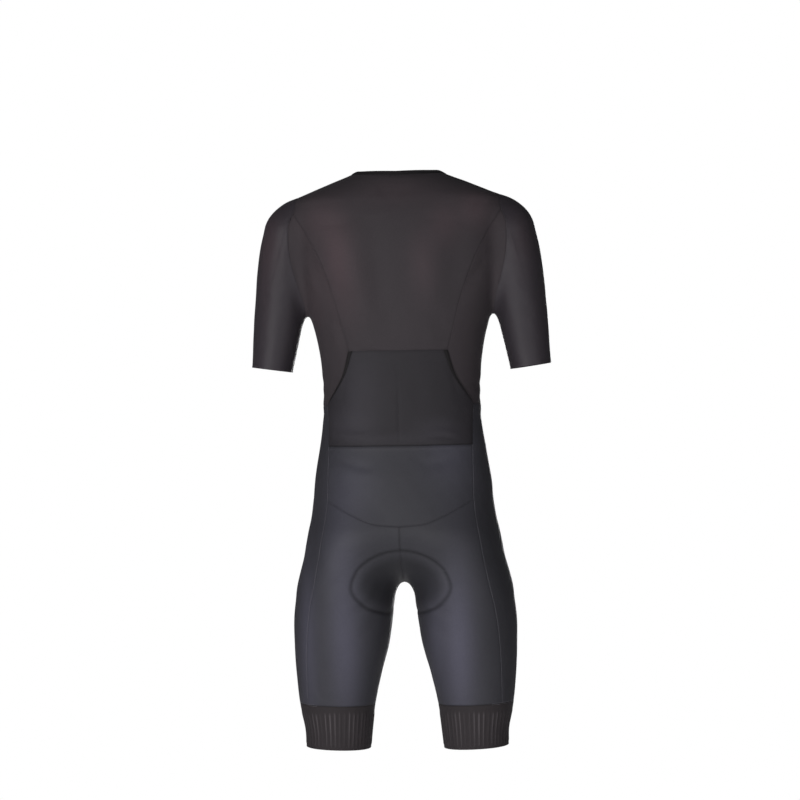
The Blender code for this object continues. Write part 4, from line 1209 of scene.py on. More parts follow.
MOUTH_SHARE = DOWN_MOUTH / (DOWN_MOUTH + DOWN_POCKET_SIDE)  # of the pocket's sides
MOUTH_OUT = 1.2  # how many times its length a mouth's binding takes to run out
MOUTH_COLUMNS = 8
MOUTH_THICK = 1.1 * MM
MOUTH_RISE = (0.25 * MM, 0.65 * MM)  # at its edges, and what its middle adds
MOUTH_FLATTER = 0.7  # how much its end is laid down
MOUTH_FLAT_FROM = 0.82

# The line sewn down the pocket's middle.
LINE_WIDTH = 2.4 * MM
LINE_POWER = 1.5
LINE_DEEPENS = (0.36, 0.41)  # between these heights below the origin, in metres
LINE_DEPTHS = (0.12, 0.85)  # above them, and what it gains below
LINE_HELD = 0.92
LINE_REACH = 20 * MM  # how far off it draws the cloth in
LINE_DRAWN = 0.35
LINE_SEWN = (0.392, 0.461)  # where its stitches start and end
# The pocket's edges.
POCKET_DIPS = {"t": 0.15 * MM, "b": 0.7 * MM, "lr": 0.35 * MM}
POCKET_EDGE_DROP = 0.8 * MM
POCKET_EDGE_WIDTH = 4 * MM
POCKET_LEAST = -0.05 * MM
POCKET_HELD_BY = 0.14  # the share of its height below the mouths where its sides get sewn down
POCKET_FLAT_ENDS = 3  # how many times sooner than in half a wave its folds reach their height


def make_back(found):
    """The mesh back, from the neck and the shoulders down behind the pocket to the waist."""
    top = both_halves(joined(found["neck_back"][::-1], found["shoulder"]))
    upper_side = joined(found["armhole_back"], found["princess"])
    lower_side = joined(found["mouth"], found["pocket_side"])
    pocket_top, waist = both_halves(found["pocket_top"]), both_halves(found["back_waist"])
    u = places(BACK_WIDTH, CELLS["back"])
    upper = panel(top, pocket_top, mirrored(upper_side), upper_side, CELLS["back"], u=u)
    lower = panel(pocket_top, waist, mirrored(lower_side), lower_side, CELLS["back_low"], u=u)
    net = joined(upper, lower)
    relief = folds(net, panel_outward(net), back="back") + ripple(net, "back") + seam_dip(net)
    relief[len(upper) :] = np.minimum(relief[len(upper) :], BACK_LOW_RISE)
    from_patch = ((-net[..., 2] - NECK_PATCH["down"]) / NECK_PATCH["high"]) ** 4
    from_patch += ((net[..., 0] - NECK_PATCH["across"]) / NECK_PATCH["wide"]) ** 4
    dark_and_shade = np.maximum(seam_dark_and_shade(net, **SHADES["back"]), NECK_PATCH_DARK * np.exp(-from_patch))
    pale = patches(net, BACK_PALE_AND_PAINTED_LIGHT, 1)
    back = cloth("back_mesh", net, relief, "bodice_mesh", dark_and_shade, pale, CLOTH_UNDER)
    stretched(back, "back")
    return back


def make_pocket(found, back):
    """The pocket on the back and its two bound mouths; returns the line sewn down its middle."""
    lower_side = joined(found["mouth"], found["pocket_side"])
    pocket_top, waist = both_halves(found["pocket_top"]), both_halves(found["back_waist"])
    v = places(length_of(lower_side), CELLS["pocket"])
    u = places((length_of(pocket_top) + length_of(waist)) / 2, CELLS["pocket"])
    lower = panel(pocket_top, waist, mirrored(lower_side), lower_side, 0, u=u, v=v)
    width = np.interp(v / MOUTH_SHARE, (0, 1, MOUTH_OUT), (*MOUTH_BAND, 0))
    across = run(lower, 1)[:, -1]
    net = on_figure(between_shares(lower, width, across - width, u))
    dark_and_shade, pale = seam_dark_and_shade(net, **SHADES["pocket"]), patches(net, POCKET_PAINTED_LIGHT, 1)
    relief = pocket_relief(net, u, v)
    pocket = cloth("pocket_panel", net, relief, "pocket_knit", dark_and_shade, pale)
    stretched(pocket, "pocket", rests_on=[back])

    rows = v <= MOUTH_SHARE
    for side, start, end in (("right", 0 * width, width), ("left", across - width, across)):
        band = on_figure(between_shares(lower, start, end, MOUTH_COLUMNS)[rows])
        share = np.linspace(-1, 1, band.shape[1])[None]
        laid_down = MOUTH_FLATTER * eased(MOUTH_FLAT_FROM, 1.0, v[rows] / MOUTH_SHARE)[:, None]
        height = POCKET_LIFT + MOUTH_RISE[0] + MOUTH_RISE[1] * (1 - share**4)
        height = height * (1 - laid_down)
        # Darkened all over by half: painted shade of the pocket's mouth, on top of the binding's
        # own dark cloth.
        bound = cloth(f"mouth_binding_{side}", band, height, "binding", 1.0, thick=MOUTH_THICK)
        stretched(bound, f"pocket_mouth_{side}", rests_on=[back])
    column = np.abs(net[:, :, 0]).sum(axis=0).argmin()
    sewn = (net[:, column, 2] < -LINE_SEWN[0]) & (net[:, column, 2] > -LINE_SEWN[1])
    return net[sewn, column], relief[sewn, column]


def pocket_relief(net, u, v):
    """How far the pocket stands off the back: its slack, its folds and the line down its middle."""
    u, v = 2 * u[None] - 1, v[:, None]
    slack = POCKET_SLACK * (1 - u**2) * np.sin(np.pi * v) ** SLACK_POWER
    for across, down, length, height, depth in zip(*POCKET_FOLDS.values()):
        far = ((net[..., 0] - across) / length) ** 2 + ((-net[..., 2] - down) / height) ** 2
        slack = slack + depth * np.exp(-far) * np.sin(np.pi * v) ** FOLD_POWER
    sewn = np.exp(-((np.abs(net[..., 0]) / LINE_WIDTH) ** LINE_POWER))
    deep = eased(*LINE_DEEPENS, -net[..., 2]) * LINE_DEPTHS[1] + LINE_DEPTHS[0]
    drawn = np.exp(-((net[..., 0] / LINE_REACH) ** 2))
    slack = slack * (1 - LINE_HELD * sewn * deep) * (1 - LINE_DRAWN * drawn * deep)
    below_mouth = eased(0, POCKET_HELD_BY, v - MOUTH_SHARE)
    relief = folds(net, panel_outward(net), back="pocket") + ripple(net, "pocket")
    near = np.minimum(np.sin(np.pi * v) * POCKET_FLAT_ENDS, 1)
    edge = sum(seam_dip(net, sides, depth) for sides, depth in POCKET_DIPS.items())
    at_top, at_sides = (
        np.exp(-((edge_distance(net, sides) / POCKET_EDGE_WIDTH) ** 2)) for sides in ("t", "lr")
    )
    lift = POCKET_LIFT - POCKET_EDGE_DROP * np.maximum(at_top, below_mouth * at_sides)
    return lift + np.maximum(slack + relief * near + edge, POCKET_LEAST)


# ---------------------------------------------------------------- the fronts, sides and sleeves

SLEEVE_LENGTH = 165 * MM
SLEEVE_RADIUS = 43 * MM
# A sleeve's two runs of folds: the angle of their middle, which way round, and how far along.
SLEEVE_RUNS = ((1.05, 1, 0.0), (5.2, -1, 13 * MM))
# Painted shade on a sleeve's inner side, where it faces the body: how dark, and between which
# facings it comes in.
SLEEVE_PAINTED_SHADE = 0.4
SLEEVE_INWARDS = (0.45, 0.95)
HEM_CURL = 0.35 * MM
HEM_CURL_WIDTH = 3.5 * MM
HEM_CURL_MEAN = 0.6
HEM_CURL_WAVE = 0.4
HEM_WAVES = 9


def bodice_panel(finish, ending, pale_patches=None):
    """What builds a side panel or a front from its net."""

    def build(name, net):
        kind = name.split("_")[0]
        relief = folds(net, panel_outward(net), "back", "front", True)
        relief = relief + ripple(net, kind) + seam_dip(net)
        pale = patches(net, pale_patches, 1) if pale_patches else 0.0
        dark_and_shade = seam_dark_and_shade(net, **SHADES[kind])
        stretched(cloth(f"{name}_{ending}", net, relief, finish, dark_and_shade, pale), name)

    return build


def make_bodice(found):
    """The side panels, the two fronts and the sleeves."""
    down_side = joined(found["princess"], found["mouth"])
    side_top, waist = found["armhole_under"], found["side_waist"]
    side = panel(side_top, waist, down_side, found["front_seam"], CELLS["side"])
    on_both_sides("side", side, bodice_panel("side_mesh", "mesh", BACK_PALE_AND_PAINTED_LIGHT))
    front_top = joined(found["shoulder"][::-1], found["neck_front"][::-1])
    outer_side = joined(found["armhole_front"][::-1], found["front_seam"])
    front = panel(front_top, found["front_waist"], outer_side, found["zip"], CELLS["front"])
    on_both_sides("front", front, bodice_panel("sleeve_knit", "panel"))
    on_both_sides("sleeve", sleeve_net(found, CELLS["sleeve"]), sleeve_panel)


def sleeve_net(found, cell):
    """Rings from the armhole to the hem, each cast from a middle and a way between those two's."""
    armhole = joined(found["armhole_back"], found["armhole_under"], found["armhole_front"])
    hem = arm_loop(SLEEVE_HEM, len(armhole) - 1)
    top, end = armhole[:-1].mean(axis=0), hem[:-1].mean(axis=0)
    share = places(SLEEVE_LENGTH, cell)[1:-1, None, None]
    ways = (1 - share) * (armhole - top) + share * (hem - end)
    ways = unit(ways)
    starts = np.broadcast_to(top + share * (end - top), ways.shape)
    rings = cast(starts.reshape(-1, 3), ways.reshape(-1, 3)).reshape(ways.shape)
    return np.concatenate([armhole[None], rings, hem[None]])


def sleeve_panel(name, net):
    """One sleeve: folds before and behind, a curl at its raw hem and shade painted on its inner
    side.
    """
    way = 1 if name.endswith("left") else -1
    turn = np.linspace(0, 2 * math.pi, net.shape[1])[None]
    relief = ripple(net, "sleeve") + seam_dip(net, "t")
    for centre, flip, later in SLEEVE_RUNS:
        round_it = (turn - centre + math.pi) % (2 * math.pi) - math.pi
        down = -net[..., 2] + later * way
        relief = relief + folded(down, flip * way * round_it * SLEEVE_RADIUS, SLEEVE_FOLDS)
    edge = run(net, 0)[-1:] - run(net, 0)
    curl = HEM_CURL * np.exp(-((edge / HEM_CURL_WIDTH) ** 2))
    curl = curl * (HEM_CURL_MEAN + HEM_CURL_WAVE * np.sin(HEM_WAVES * turn + way))
    relief = relief + curl
    # Painted shade where the sleeve turns in towards the body.
    painted_shade = SLEEVE_PAINTED_SHADE * eased(*SLEEVE_INWARDS, -way * panel_outward(net)[..., 0])
    dark_and_shade = np.maximum(seam_dark_and_shade(net, **SHADES["sleeve"]), painted_shade)
    pale = patches(net, SLEEVES_PAINTED_HIGHLIGHT, 1)
    piece = cloth(f"{name}_tube", net, relief, "sleeve_knit", dark_and_shade, pale, closed=True)
    stretched(piece, name)


# ---------------------------------------------------------------- the shorts

# The roll of cloth below the waist seam.
WAIST_ROLL = 0.4 * MM
WAIST_ROLL_DOWN = 4.4 * MM
WAIST_ROLL_WIDTH = 1.8 * MM

# How the seat pad shows: the groove where it is sewn on, the cloth raised within it, and the shade
# painted along the groove and over the pad.
PAD_GROOVE = 1.3 * MM
PAD_GROOVE_WIDTH = 3.0 * MM
PAD_GROOVE_SHADE_WIDTH = 3.4 * MM  # of the painted shade along the groove
PAD_SWELL = 0.9 * MM
PAD_SWELL_WIDTH = 16 * MM
PAD_PAINTED_SHADE = 0.75
PAD_PAINTED_SHADE_WIDTH = 26 * MM
PAD_NEAR = 4 * MM  # cloth nearer than this to the pad's points lies over the pad


def make_shorts(found, pad_line, pad_points):
    """The yoke, the seat, side and front panels of the legs."""
    waist, yoke_seam = both_halves(found["back_waist"]), both_halves(found["yoke"])
    yoke = panel(waist, yoke_seam, mirrored(found["yoke_side"]), found["yoke_side"], CELLS["yoke"])
    relief = folds(yoke, panel_outward(yoke), back="shorts_back") + ripple(yoke, "yoke")
    relief = relief + seam_dip(yoke)
    below = edge_distance(yoke, "t") - WAIST_ROLL_DOWN
    relief = relief + WAIST_ROLL * np.exp(-((below / WAIST_ROLL_WIDTH) ** 2))
    dark_and_shade, pale = seam_dark_and_shade(yoke, **SHADES["yoke"]), patches(yoke, SHORTS_PAINTED_HIGHLIGHT, 1)
    stretched(cloth("yoke_panel", yoke, relief, "leg_knit", dark_and_shade, pale), "yoke")

    def leg(kind, finish, padded=True):
        def build(name, net):
            relief = folds(net, panel_outward(net), "shorts_back", "shorts_front", True)
            relief = relief + ripple(net, kind)
            relief = relief + seam_dip(net)
            dark_and_shade = seam_dark_and_shade(net, **SHADES[kind])
            if padded:
                # The pad's groove and swell, with the shade painted along the groove and over the
                # pad.
                raised, sewn = pad_relief(net, pad_line, pad_points)
                relief, dark_and_shade = relief + raised, np.maximum(dark_and_shade, sewn)
            pale = patches(net, SHORTS_PAINTED_HIGHLIGHT, 1) + patches(net, SHORTS_PAINTED_HIGHLIGHT, -1)
            stretched(cloth(f"{name}_panel", net, relief, finish, dark_and_shade, pale), name)

        return build

    hems = {name: found[f"gripper_{name}"][::-1] for name in ("back", "side", "front")}
    inner = joined(found["centre_back"], found["inner_leg"])
    seat = panel(found["yoke"], hems["back"], inner, found["side_back"], CELLS["seat"])
    on_both_sides("seat", seat, leg("seat", "leg_knit"))
    down_back = joined(found["pocket_side"], found["yoke_side"], found["side_back"])
    top, down_front = found["leg_side_top"], found["side_front"]
    side = panel(top, hems["side"], down_back, down_front, CELLS["leg_side"])
    on_both_sides("leg_side", side, leg("leg_side", "leg_side_knit", padded=False))
    inner = joined(found["centre_front"], found["inner_leg"])
    front = panel(found["leg_front_top"], hems["front"], down_front, inner, CELLS["leg_front"])
    on_both_sides("leg_front", front, leg("leg_front", "leg_knit"))


def pad_relief(net, pad_line, pad_points):
    """The groove where the seat pad is sewn on, the cloth raised over it, and the shade painted
    along the groove and over the pad.
    """
    flat = net.reshape(-1, 3)
    to_line, to_pad = (
        np.array([tree.find(point)[2] for point in flat])
        for tree in (tree_of(pad_line), tree_of(pad_points))
    )
    within = to_pad < PAD_NEAR
    groove = -PAD_GROOVE * np.exp(-((to_line / PAD_GROOVE_WIDTH) ** 2))
    swell = np.where(within, PAD_SWELL * eased(0, PAD_SWELL_WIDTH, to_line), 0)
    # Painted shade along the groove and over the pad.
    sewn = np.exp(-((to_line / PAD_GROOVE_SHADE_WIDTH) ** 2))
    dark = np.where(within, PAD_PAINTED_SHADE * eased(0, PAD_PAINTED_SHADE_WIDTH, to_line), 0)
    shape = net.shape[:2]
    return (groove + swell).reshape(shape), np.maximum(sewn, dark).reshape(shape)


# ---------------------------------------------------------------- the grippers

RIB_COLUMNS = 8
RIB_POWER = 1.4
RIB_FULLER = 1.3  # how much more the ribs stand out than the solid's
# How unevenly the ribs start round the band: each wave's height, how often it comes and its shift.
RIB_WANDERS = ((2.5 * MM, 2, 0.8), (0.8 * MM, 18.5, 0))
RIB_UPPER = (3 * MM, 4 * MM)  # how far before and past that line they rise
RIB_LOWER = (7 * MM, 3.5 * MM)  # above the hem, where they end
# The ribs are painted paler: partly their own lighter colour, partly painted highlight where they
# face back or front.
RIB_PALE = 0.75
RIB_SCATTER = 7.3  # makes each rib as pale as chance would
RIB_UNEVEN_POWER = 1.3
RIB_UNEVEN = 0.9  # how much of a rib's paleness differs from rib to rib
RIB_HIGHLIGHT_FACING = (0.45, 0.95)  # painted highlight where they face back or front
RIB_TURNED = 0.75  # how much of it fades where they face sideways
RIB_DARKER = (0.4, 0.95)  # shares of the band's height between which they get darker
RIB_LOW_SHADE = 0.6
BAND_THICK = 1.0 * MM


def make_grippers():
    """The ribbed bands that hold the legs down."""
    columns = RIB_COLUMNS * RIBS
    loops = (leg_loop(GRIPPER_TOP), leg_loop(LEG_HEM))
    top, hem = (evenly(np.vstack([loop, loop[:1]]), columns) for loop in loops)
    height = np.linalg.norm(top - hem, axis=1).mean()
    share = places(height, CELLS["gripper"])[:, None, None]
    net = on_figure((1 - share) * top[None] + share * hem[None])
    net[0], net[-1] = top, hem

    def band(name, net):
        turn = np.linspace(0, 1, columns + 1)[None]
        down = run(net, 0)
        wander = sum(
            high * np.sin(2 * math.pi * often * turn + shift)
            for high, often, shift in RIB_WANDERS
        )
        start, end = RIB_START + wander - RIB_UPPER[0], RIB_START + wander + RIB_UPPER[1]
        shown = eased(start, end, down)
        shown = shown * (1 - eased(-RIB_LOWER[0], -RIB_LOWER[1], down - down[-1:]))
        rib = (0.5 - 0.5 * np.cos(2 * math.pi * RIBS * turn)) ** RIB_POWER
        each = np.floor(RIBS * turn + 0.5)
        uneven = (0.5 + 0.5 * np.sin(RIB_SCATTER * each**1.5)) ** RIB_UNEVEN_POWER
        painted_highlight = eased(*RIB_HIGHLIGHT_FACING, np.abs(panel_outward(net)[..., 1]))
        lower = eased(RIB_DARKER[0] * height, RIB_DARKER[1] * height, down)
        pale = RIB_PALE * rib**4 * shown
        pale = pale * (1 - RIB_UNEVEN + RIB_UNEVEN * uneven) * (1 - RIB_TURNED + RIB_TURNED * painted_highlight)
        pale = pale * (1 - RIB_LOW_SHADE * lower)
        relief = RIB_RISE * RIB_FULLER * rib * shown + seam_dip(net, "t") + ripple(net, "gripper")
        dark_and_shade = seam_dark_and_shade(net, **SHADES["gripper"])
        ring = (f"{name}_band", net, relief, "gripper_band", dark_and_shade, pale, BAND_THICK)
        stretched(cloth(*ring, closed=True), name)

    on_both_sides("gripper", net, band)


# ---------------------------------------------------------------- the seat pad

PAD_NET = (89, 61)  # its points from back to front, and across
PAD_RING = (0.62, 0.74)  # the sewn ring's half sizes, as shares across and along
PAD_RING_MIDDLE = 0.95  # where 1 is half way along
PAD_CHANNEL_WIDTH = 0.05
PAD_SPINE_STARTS = (0.1, 0.3)
PAD_SPINE_ENDS = (0.7, 0.9)
PAD_CHANNEL_DEPTH = 0.42
PAD_SOFT = 0.8 * MM
PAD_OUTLINE_POINTS = 400


def walk(start, across, distance):
    """Points reached over the figure from the start, square to a direction, towards +X."""
    points = np.array(start)
    step = (distance / WALK_STEPS)[:, None]
    for _ in range(WALK_STEPS):
        points = points + unit(np.cross(across, outward(points))) * step
        for _ in range(WALK_CORRECTIONS):
            slopes = gradient(points)
            slopes -= across * (slopes * across).sum(axis=1, keepdims=True)
            points -= slopes * (figure(points) / steepness(slopes))[:, None]
    return points


def pad_net(rows, columns):
    """The seat pad's place on the figure, from behind to before the crotch."""
    behind, ahead = crotch_line(1), crotch_line(-1)[::-1]
    line = joined(behind[behind[:, 2] < -PAD_BACK], ahead[ahead[:, 2] < -PAD_FRONT])
    length = along_line(line)
    along, side = np.meshgrid(rows, columns, indexing="ij")
    start, end = PAD_ENDS[0] * side**2, length[-1] - PAD_ENDS[1] * side**2
    at = (start + (end - start) * along).ravel()
    middle, near, far = (read_at(where, length, line) for where in (at, at + MM, at - MM))
    reach = smooth(PAD["along"], PAD["half_width"], along.ravel()) * np.abs(side.ravel())
    points = walk(middle, unit(near - far), reach)
    wrong_side = (points[:, 0] < 0) != (side.ravel() < 0)
    points[wrong_side] = mirrored(points[wrong_side])
    return points.reshape(*along.shape, 3), along, side


def make_pad():
    """The foam pad inside the seat, with its sewn channels; returns its outline and its points."""
    rows, columns = PAD_NET
    net, along, side = pad_net(np.linspace(0, 1, rows), np.linspace(-1, 1, columns))
    crown = (1 - side**2) * np.sqrt(np.maximum(1 - (2 * along - 1) ** 2, 0))
    thickness = PAD_EDGE + (PAD_MIDDLE - PAD_EDGE) * crown
    ring = np.hypot(side / PAD_RING[0], (2 * along - PAD_RING_MIDDLE) / PAD_RING[1])
    inner_ring = np.exp(-(((ring - 1) / PAD_CHANNEL_WIDTH) ** 2))
    spine = np.exp(-((side / PAD_CHANNEL_WIDTH) ** 2))
    spine = spine * eased(*PAD_SPINE_STARTS, along) * (1 - eased(*PAD_SPINE_ENDS, along))
    thickness = thickness * (1 - PAD_CHANNEL_DEPTH * np.maximum(inner_ring, spine))
    normals = panel_outward(net)
    outer = net - normals * PAD_SETBACK
    inner = outer - normals * thickness[..., None]
    bm = bmesh.new()
    place = bm.verts.layers.int.new("place")
    bmesh.ops.create_grid(bm, x_segments=columns - 1, y_segments=rows - 1, size=0.5)
    for vert in bm.verts:
        row = round((vert.co.y + 0.5) * (rows - 1))
        column = round((vert.co.x + 0.5) * (columns - 1))
        vert[place] = row * columns + column
        vert.co = inner[row, column]
    lifted = bmesh.ops.extrude_face_region(bm, geom=bm.faces[:], use_keep_orig=True)["geom"]
    for vert in (item for item in lifted if isinstance(item, bmesh.types.BMVert)):
        vert.co = outer.reshape(-1, 3)[vert[place]]
    bmesh.ops.recalc_face_normals(bm, faces=bm.faces)
    mesh = bpy.data.meshes.new("seat_pad_foam")
    bm.to_mesh(mesh)
    bm.free()
    pad = placed("seat_pad_foam", mesh, "pad_foam")
    soften = pad.modifiers.new("soft edges", "BEVEL")
    soften.width, soften.segments, soften.limit_method = PAD_SOFT, 2, "ANGLE"
    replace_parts(pad, "seat_pad")
    outline = np.vstack([net[0], net[1:, -1], net[-1, -2::-1], net[-2:0:-1, 0]])
    return evenly(outline, PAD_OUTLINE_POINTS), net.reshape(-1, 3)


# ---------------------------------------------------------------- the neck's binding

BINDING_ROWS = 17
BINDING_REACH = 1.16  # how many times its width it takes to reach past the seam under it
BINDING_THICK = 0.75 * MM
BINDING_FULL = 0.6  # the share of its rise that its rolled middle has
BINDING_ROLL_POWER = 5
BINDING_FLATTER = 0.8  # how much its lower edge is laid down
BINDING_FLAT_FROM = 0.84
BINDING_SEWN = 0.8  # the share across it where it is sewn
BINDING_SEWN_ROW = 11
NEEDLE_DIP = 0.28 * MM
NEEDLE_WIDTH = 0.07
NEEDLE_SHADE = 0.08
BINDING_EDGE_POWER = 14  # how close to its lower edge it gets dark


def make_binding(found):
    """The folded binding round the neck, from one side of the zip to the other."""
    edge = joined(found["neck_edge_front"], found["neck_edge_back"])
    under = joined(found["neck_front"], found["neck_back"])
    edge, under = (np.vstack([line, mirrored(line[-2::-1])]) for line in (edge, under))
    share = np.linspace(0, BINDING_REACH, BINDING_ROWS)[:, None, None]
    net = on_figure((1 - share) * edge[None] + share * under[None])
    net[0] = edge
    across = share[..., 0] / BINDING_REACH
    laid_down = 1 - BINDING_FLATTER * eased(BINDING_FLAT_FROM, 1.0, across)
    roll = BINDING_RISE * BINDING_FULL * (1 - np.abs(2 * across - 1) ** BINDING_ROLL_POWER)
    needle = -NEEDLE_DIP * np.exp(-(((across - BINDING_SEWN) / NEEDLE_WIDTH) ** 2))
    relief = CLOTH_THICK * laid_down + roll + needle + 0 * net[..., 0]
    # Darker along its sewn line and at its lower edge: partly the seam's own dark line, partly
    # painted shade in the needle's groove and at the laid-down edge.
    dark = np.exp(-(((across - BINDING_SEWN) / NEEDLE_SHADE) ** 2)) + across**BINDING_EDGE_POWER
    dark_and_shade = np.broadcast_to(dark, net.shape[:2])
    bound = cloth("neck_binding_fold", net, relief, "binding", dark_and_shade, thick=BINDING_THICK)
    stretched(bound, "neck_binding")
    return net[BINDING_SEWN_ROW]


# ---------------------------------------------------------------- the zip

TAPE_GAP = 0.15 * MM  # from the zip's middle to a tape
TAPE_UNDER = 2.5 * MM  # how far a tape reaches under its front
TAPE_COLUMNS = 12
TAPE_TOP_ROWS = 5  # beside the neck's binding
TAPE_IN = 0.5 * MM  # in from the figure, and as much again under the front
TAPE_TUCKS = (MM, 0.4 * MM)  # how far before and past the front's edge it dips under
TAPE_THICK = 0.7 * MM
COIL_PITCH = 0.75 * MM  # from a turn on one side to the next on the other
COIL_START = 6.5 * MM  # below the tapes' top, under the slider
COIL_FULL = 0.62  # half a turn's thickness along the zip, as a share of the pitch
COIL_RISE = 0.62 * MM
COIL_HALF = 1.55 * MM
COIL_ASIDE = 0.85 * MM
COIL_OUT = 0.1 * MM
COIL_LEAN = 0.12
COIL_BEAD = (8, 5)


def make_zip(found):
    """The two woven tapes and the coil of teeth; the slider and its pull tab stay as they are."""
    top, seam_falls = found["neck_edge_front"][0], -found["zip"][:, 2]
    falls = np.r_[np.linspace(-top[2], seam_falls[0], TAPE_TOP_ROWS)[:-1], seam_falls]
    offsets = np.linspace(TAPE_GAP, ZIP_HALF + TAPE_UNDER, TAPE_COLUMNS)
    for side, way in (("left", 1), ("right", -1)):
        net = np.stack([seen(falls, way * across, -1) for across in offsets], axis=1)
        tucked = eased(ZIP_HALF - TAPE_TUCKS[0], ZIP_HALF + TAPE_TUCKS[1], abs(net[..., 0]))
        relief = -TAPE_IN - TAPE_IN * tucked
        tape = cloth(f"zip_tape_{side}_woven", net, relief, "zip_tape", thick=TAPE_THICK)
        stretched(tape, f"zip_tape_{side}")
    middle = seen(falls[falls > falls[0] + COIL_START], 0.0, -1)
    centres = evenly(middle, round(length_of(middle) / COIL_PITCH))
    up, along = outward(centres), unit(np.gradient(centres, axis=0))
    way = np.where(np.arange(len(centres)) % 2, 1, -1)[:, None]
    lean = np.array((1.0, 0, 0)) + COIL_LEAN * way * along
    ways = np.stack([along * COIL_PITCH * COIL_FULL, up * COIL_RISE, lean * COIL_HALF], axis=2)
    middles = centres + np.array((COIL_ASIDE, 0, 0)) * way + up * COIL_OUT
    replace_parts(repeated("zip_coil", ways, middles, "zip_teeth", *COIL_BEAD), "zip_chain")


# ---------------------------------------------------------------- the stitching

# How far beside their seams the rows lie, and how high the rows that don't follow the cloth.
ASIDES = {
    "double": (1.9 * MM, -1.9 * MM),
    "seat": 1.9 * MM,
    "zip": 2.2 * MM,
    "waist": 2.0 * MM,
    "pocket_top": 2.2 * MM,
    "pocket_side": -1.3 * MM,
    "leg_side": -1.0 * MM,
    "gripper": (-1.2 * MM, 1.2 * MM),
}
RISES = {
    "neck": 0.35 * MM,
    "pocket_line": 0.1 * MM,
    "pocket_top": POCKET_LIFT - 0.45 * MM,
    "middle": -0.35 * MM,
}
POCKET_SIDE_SEWN = 10  # points of the pocket's side, from the mouth down
GRIPPER_SEWN = 16 * MM  # how far round the back of a leg the gripper's rows go


def make_stitching(found, neck_row, pocket_row):
    """The rows of stitches along the seams, dark on the bodice and light down the legs' sides."""
    bodice = ["princess", "front_seam", "shoulder"]
    bodice += ["armhole_back", "armhole_under", "armhole_front"]
    dark = [row for name in bodice for row in beside(found[name], *ASIDES["double"])]
    stitched("stitches_bodice", dark, "dark_thread")

    dark = beside(found["zip"], ASIDES["zip"])
    dark += [(neck_row, 0.0, RISES["neck"])]
    for name in ("front_waist", "side_waist"):
        dark += beside(found[name], ASIDES["waist"])
    middle, height = pocket_row
    dark += [(middle, 0.0, height + RISES["pocket_line"])]
    dark += [(both_halves(found["pocket_top"]), ASIDES["pocket_top"], RISES["pocket_top"])]
    stitched("stitches_trim", dark, "dark_thread")

    behind = joined(found["centre_back"], found["inner_leg"])
    dark = beside(found["yoke"], *ASIDES["double"])
    dark += [(behind, 0.0, RISES["middle"])]
    dark += beside(behind, ASIDES["seat"]) + beside(found["centre_front"], ASIDES["seat"])
    stitched("stitches_seat", dark, "dark_thread")

    light = beside(found["pocket_side"][:POCKET_SIDE_SEWN], ASIDES["pocket_side"])
    for name in ("yoke_side", "side_back", "side_front"):
        light += beside(found[name], ASIDES["leg_side"])
    stitched("stitches_leg_sides", light, "light_thread")

    outer = found["gripper_back"]
    outer = outer[outer[:, 0] > outer[:, 0].max() - GRIPPER_SEWN]
    light = beside(outer, *ASIDES["gripper"]) + beside(found["gripper_side"], *ASIDES["gripper"])
    stitched("stitches_grippers", light, "light_thread")


# ---------------------------------------------------------------- finishes


def linked(tree, kind, inputs, **settings):
    """A node with its settings made and its inputs joined to other nodes or given values."""
    node = tree.nodes.new(kind)
    for key, value in settings.items():
        setattr(node, key, value)
    for key, value in inputs.items():
        if isinstance(value, bpy.types.NodeSocket):
            tree.links.new(value, node.inputs[key])
        else:
            node.inputs[key].default_value = value
    return node


def product(tree, first, second, operation="MULTIPLY"):
    """Two values multiplied, or put together by another operation."""
    return linked(tree, "ShaderNodeMath", {0: first, 1: second}, operation=operation).outputs[0]


def between(tree, value, low, high):
    """A value from nought to one spread between two others."""
    made = linked(tree, "ShaderNodeMapRange", {"Value": value, "To Min": low, "To Max": high})
    return made.outputs["Result"]


# How a knit's colour varies: over a hand's width, from stitch to stitch, within one, and where a
# piece is darkened at its seams and by painted shade.
DYE_SCALE = 9.0
DYE_TONES = (0.9, 1.1)
HEATHER_SCALE = 420.0
HEATHER_TONES = (0.88, 1.12)
STITCH_TONES = (0.82, 1.1)
DARK_AND_SHADE_TONES = (1.0, 0.5)
MESH_HOLES = (0.25, 1.25)
COURSE_DEPTHS = (0.55, 1.0)
KNIT_ROUGHER = (-0.05, 0.06)
FUZZ = 0.35
KNIT_BUMP = 0.55
BLOOM_ROUGHNESS = 0.45
BLOOM_TINT = (0.75, 0.74, 0.8, 1)
GLOSS = 0.25

# A hard finish's rubbed marks and grain.
RUBBED_COARSER = 9  # how many times larger than the grain the marks are
HARD_ROUGHER = (-0.08, 0.1)
GRAIN_BUMP = 0.2
GRAIN_DEPTH = 0.02 * MM


def waves(tree, spread, scale, distortion, detail_scale, direction):
    """One of a knit's two sets of ridges, from nought to one."""
    inputs = {"Vector": spread, "Scale": scale, "Distortion": distortion, "Detail": 1.0}
    inputs["Detail Scale"] = detail_scale
    made = linked(tree, "ShaderNodeTexWave", inputs, wave_type="BANDS", bands_direction=direction)
    return made.outputs["Fac"]


def noise(tree, place, scale, detail, **more):
    """Soft unevenness, from nought to one."""
    inputs = {"Vector": place, "Scale": scale, "Detail": detail, **more}
    return linked(tree, "ShaderNodeTexNoise", inputs).outputs["Fac"]


def new_finish(name):
    """A new material, its nodes and its shader."""
    made = bpy.data.materials.new(name)
    made.use_nodes = True
    return made, made.node_tree, made.node_tree.nodes["Principled BSDF"]


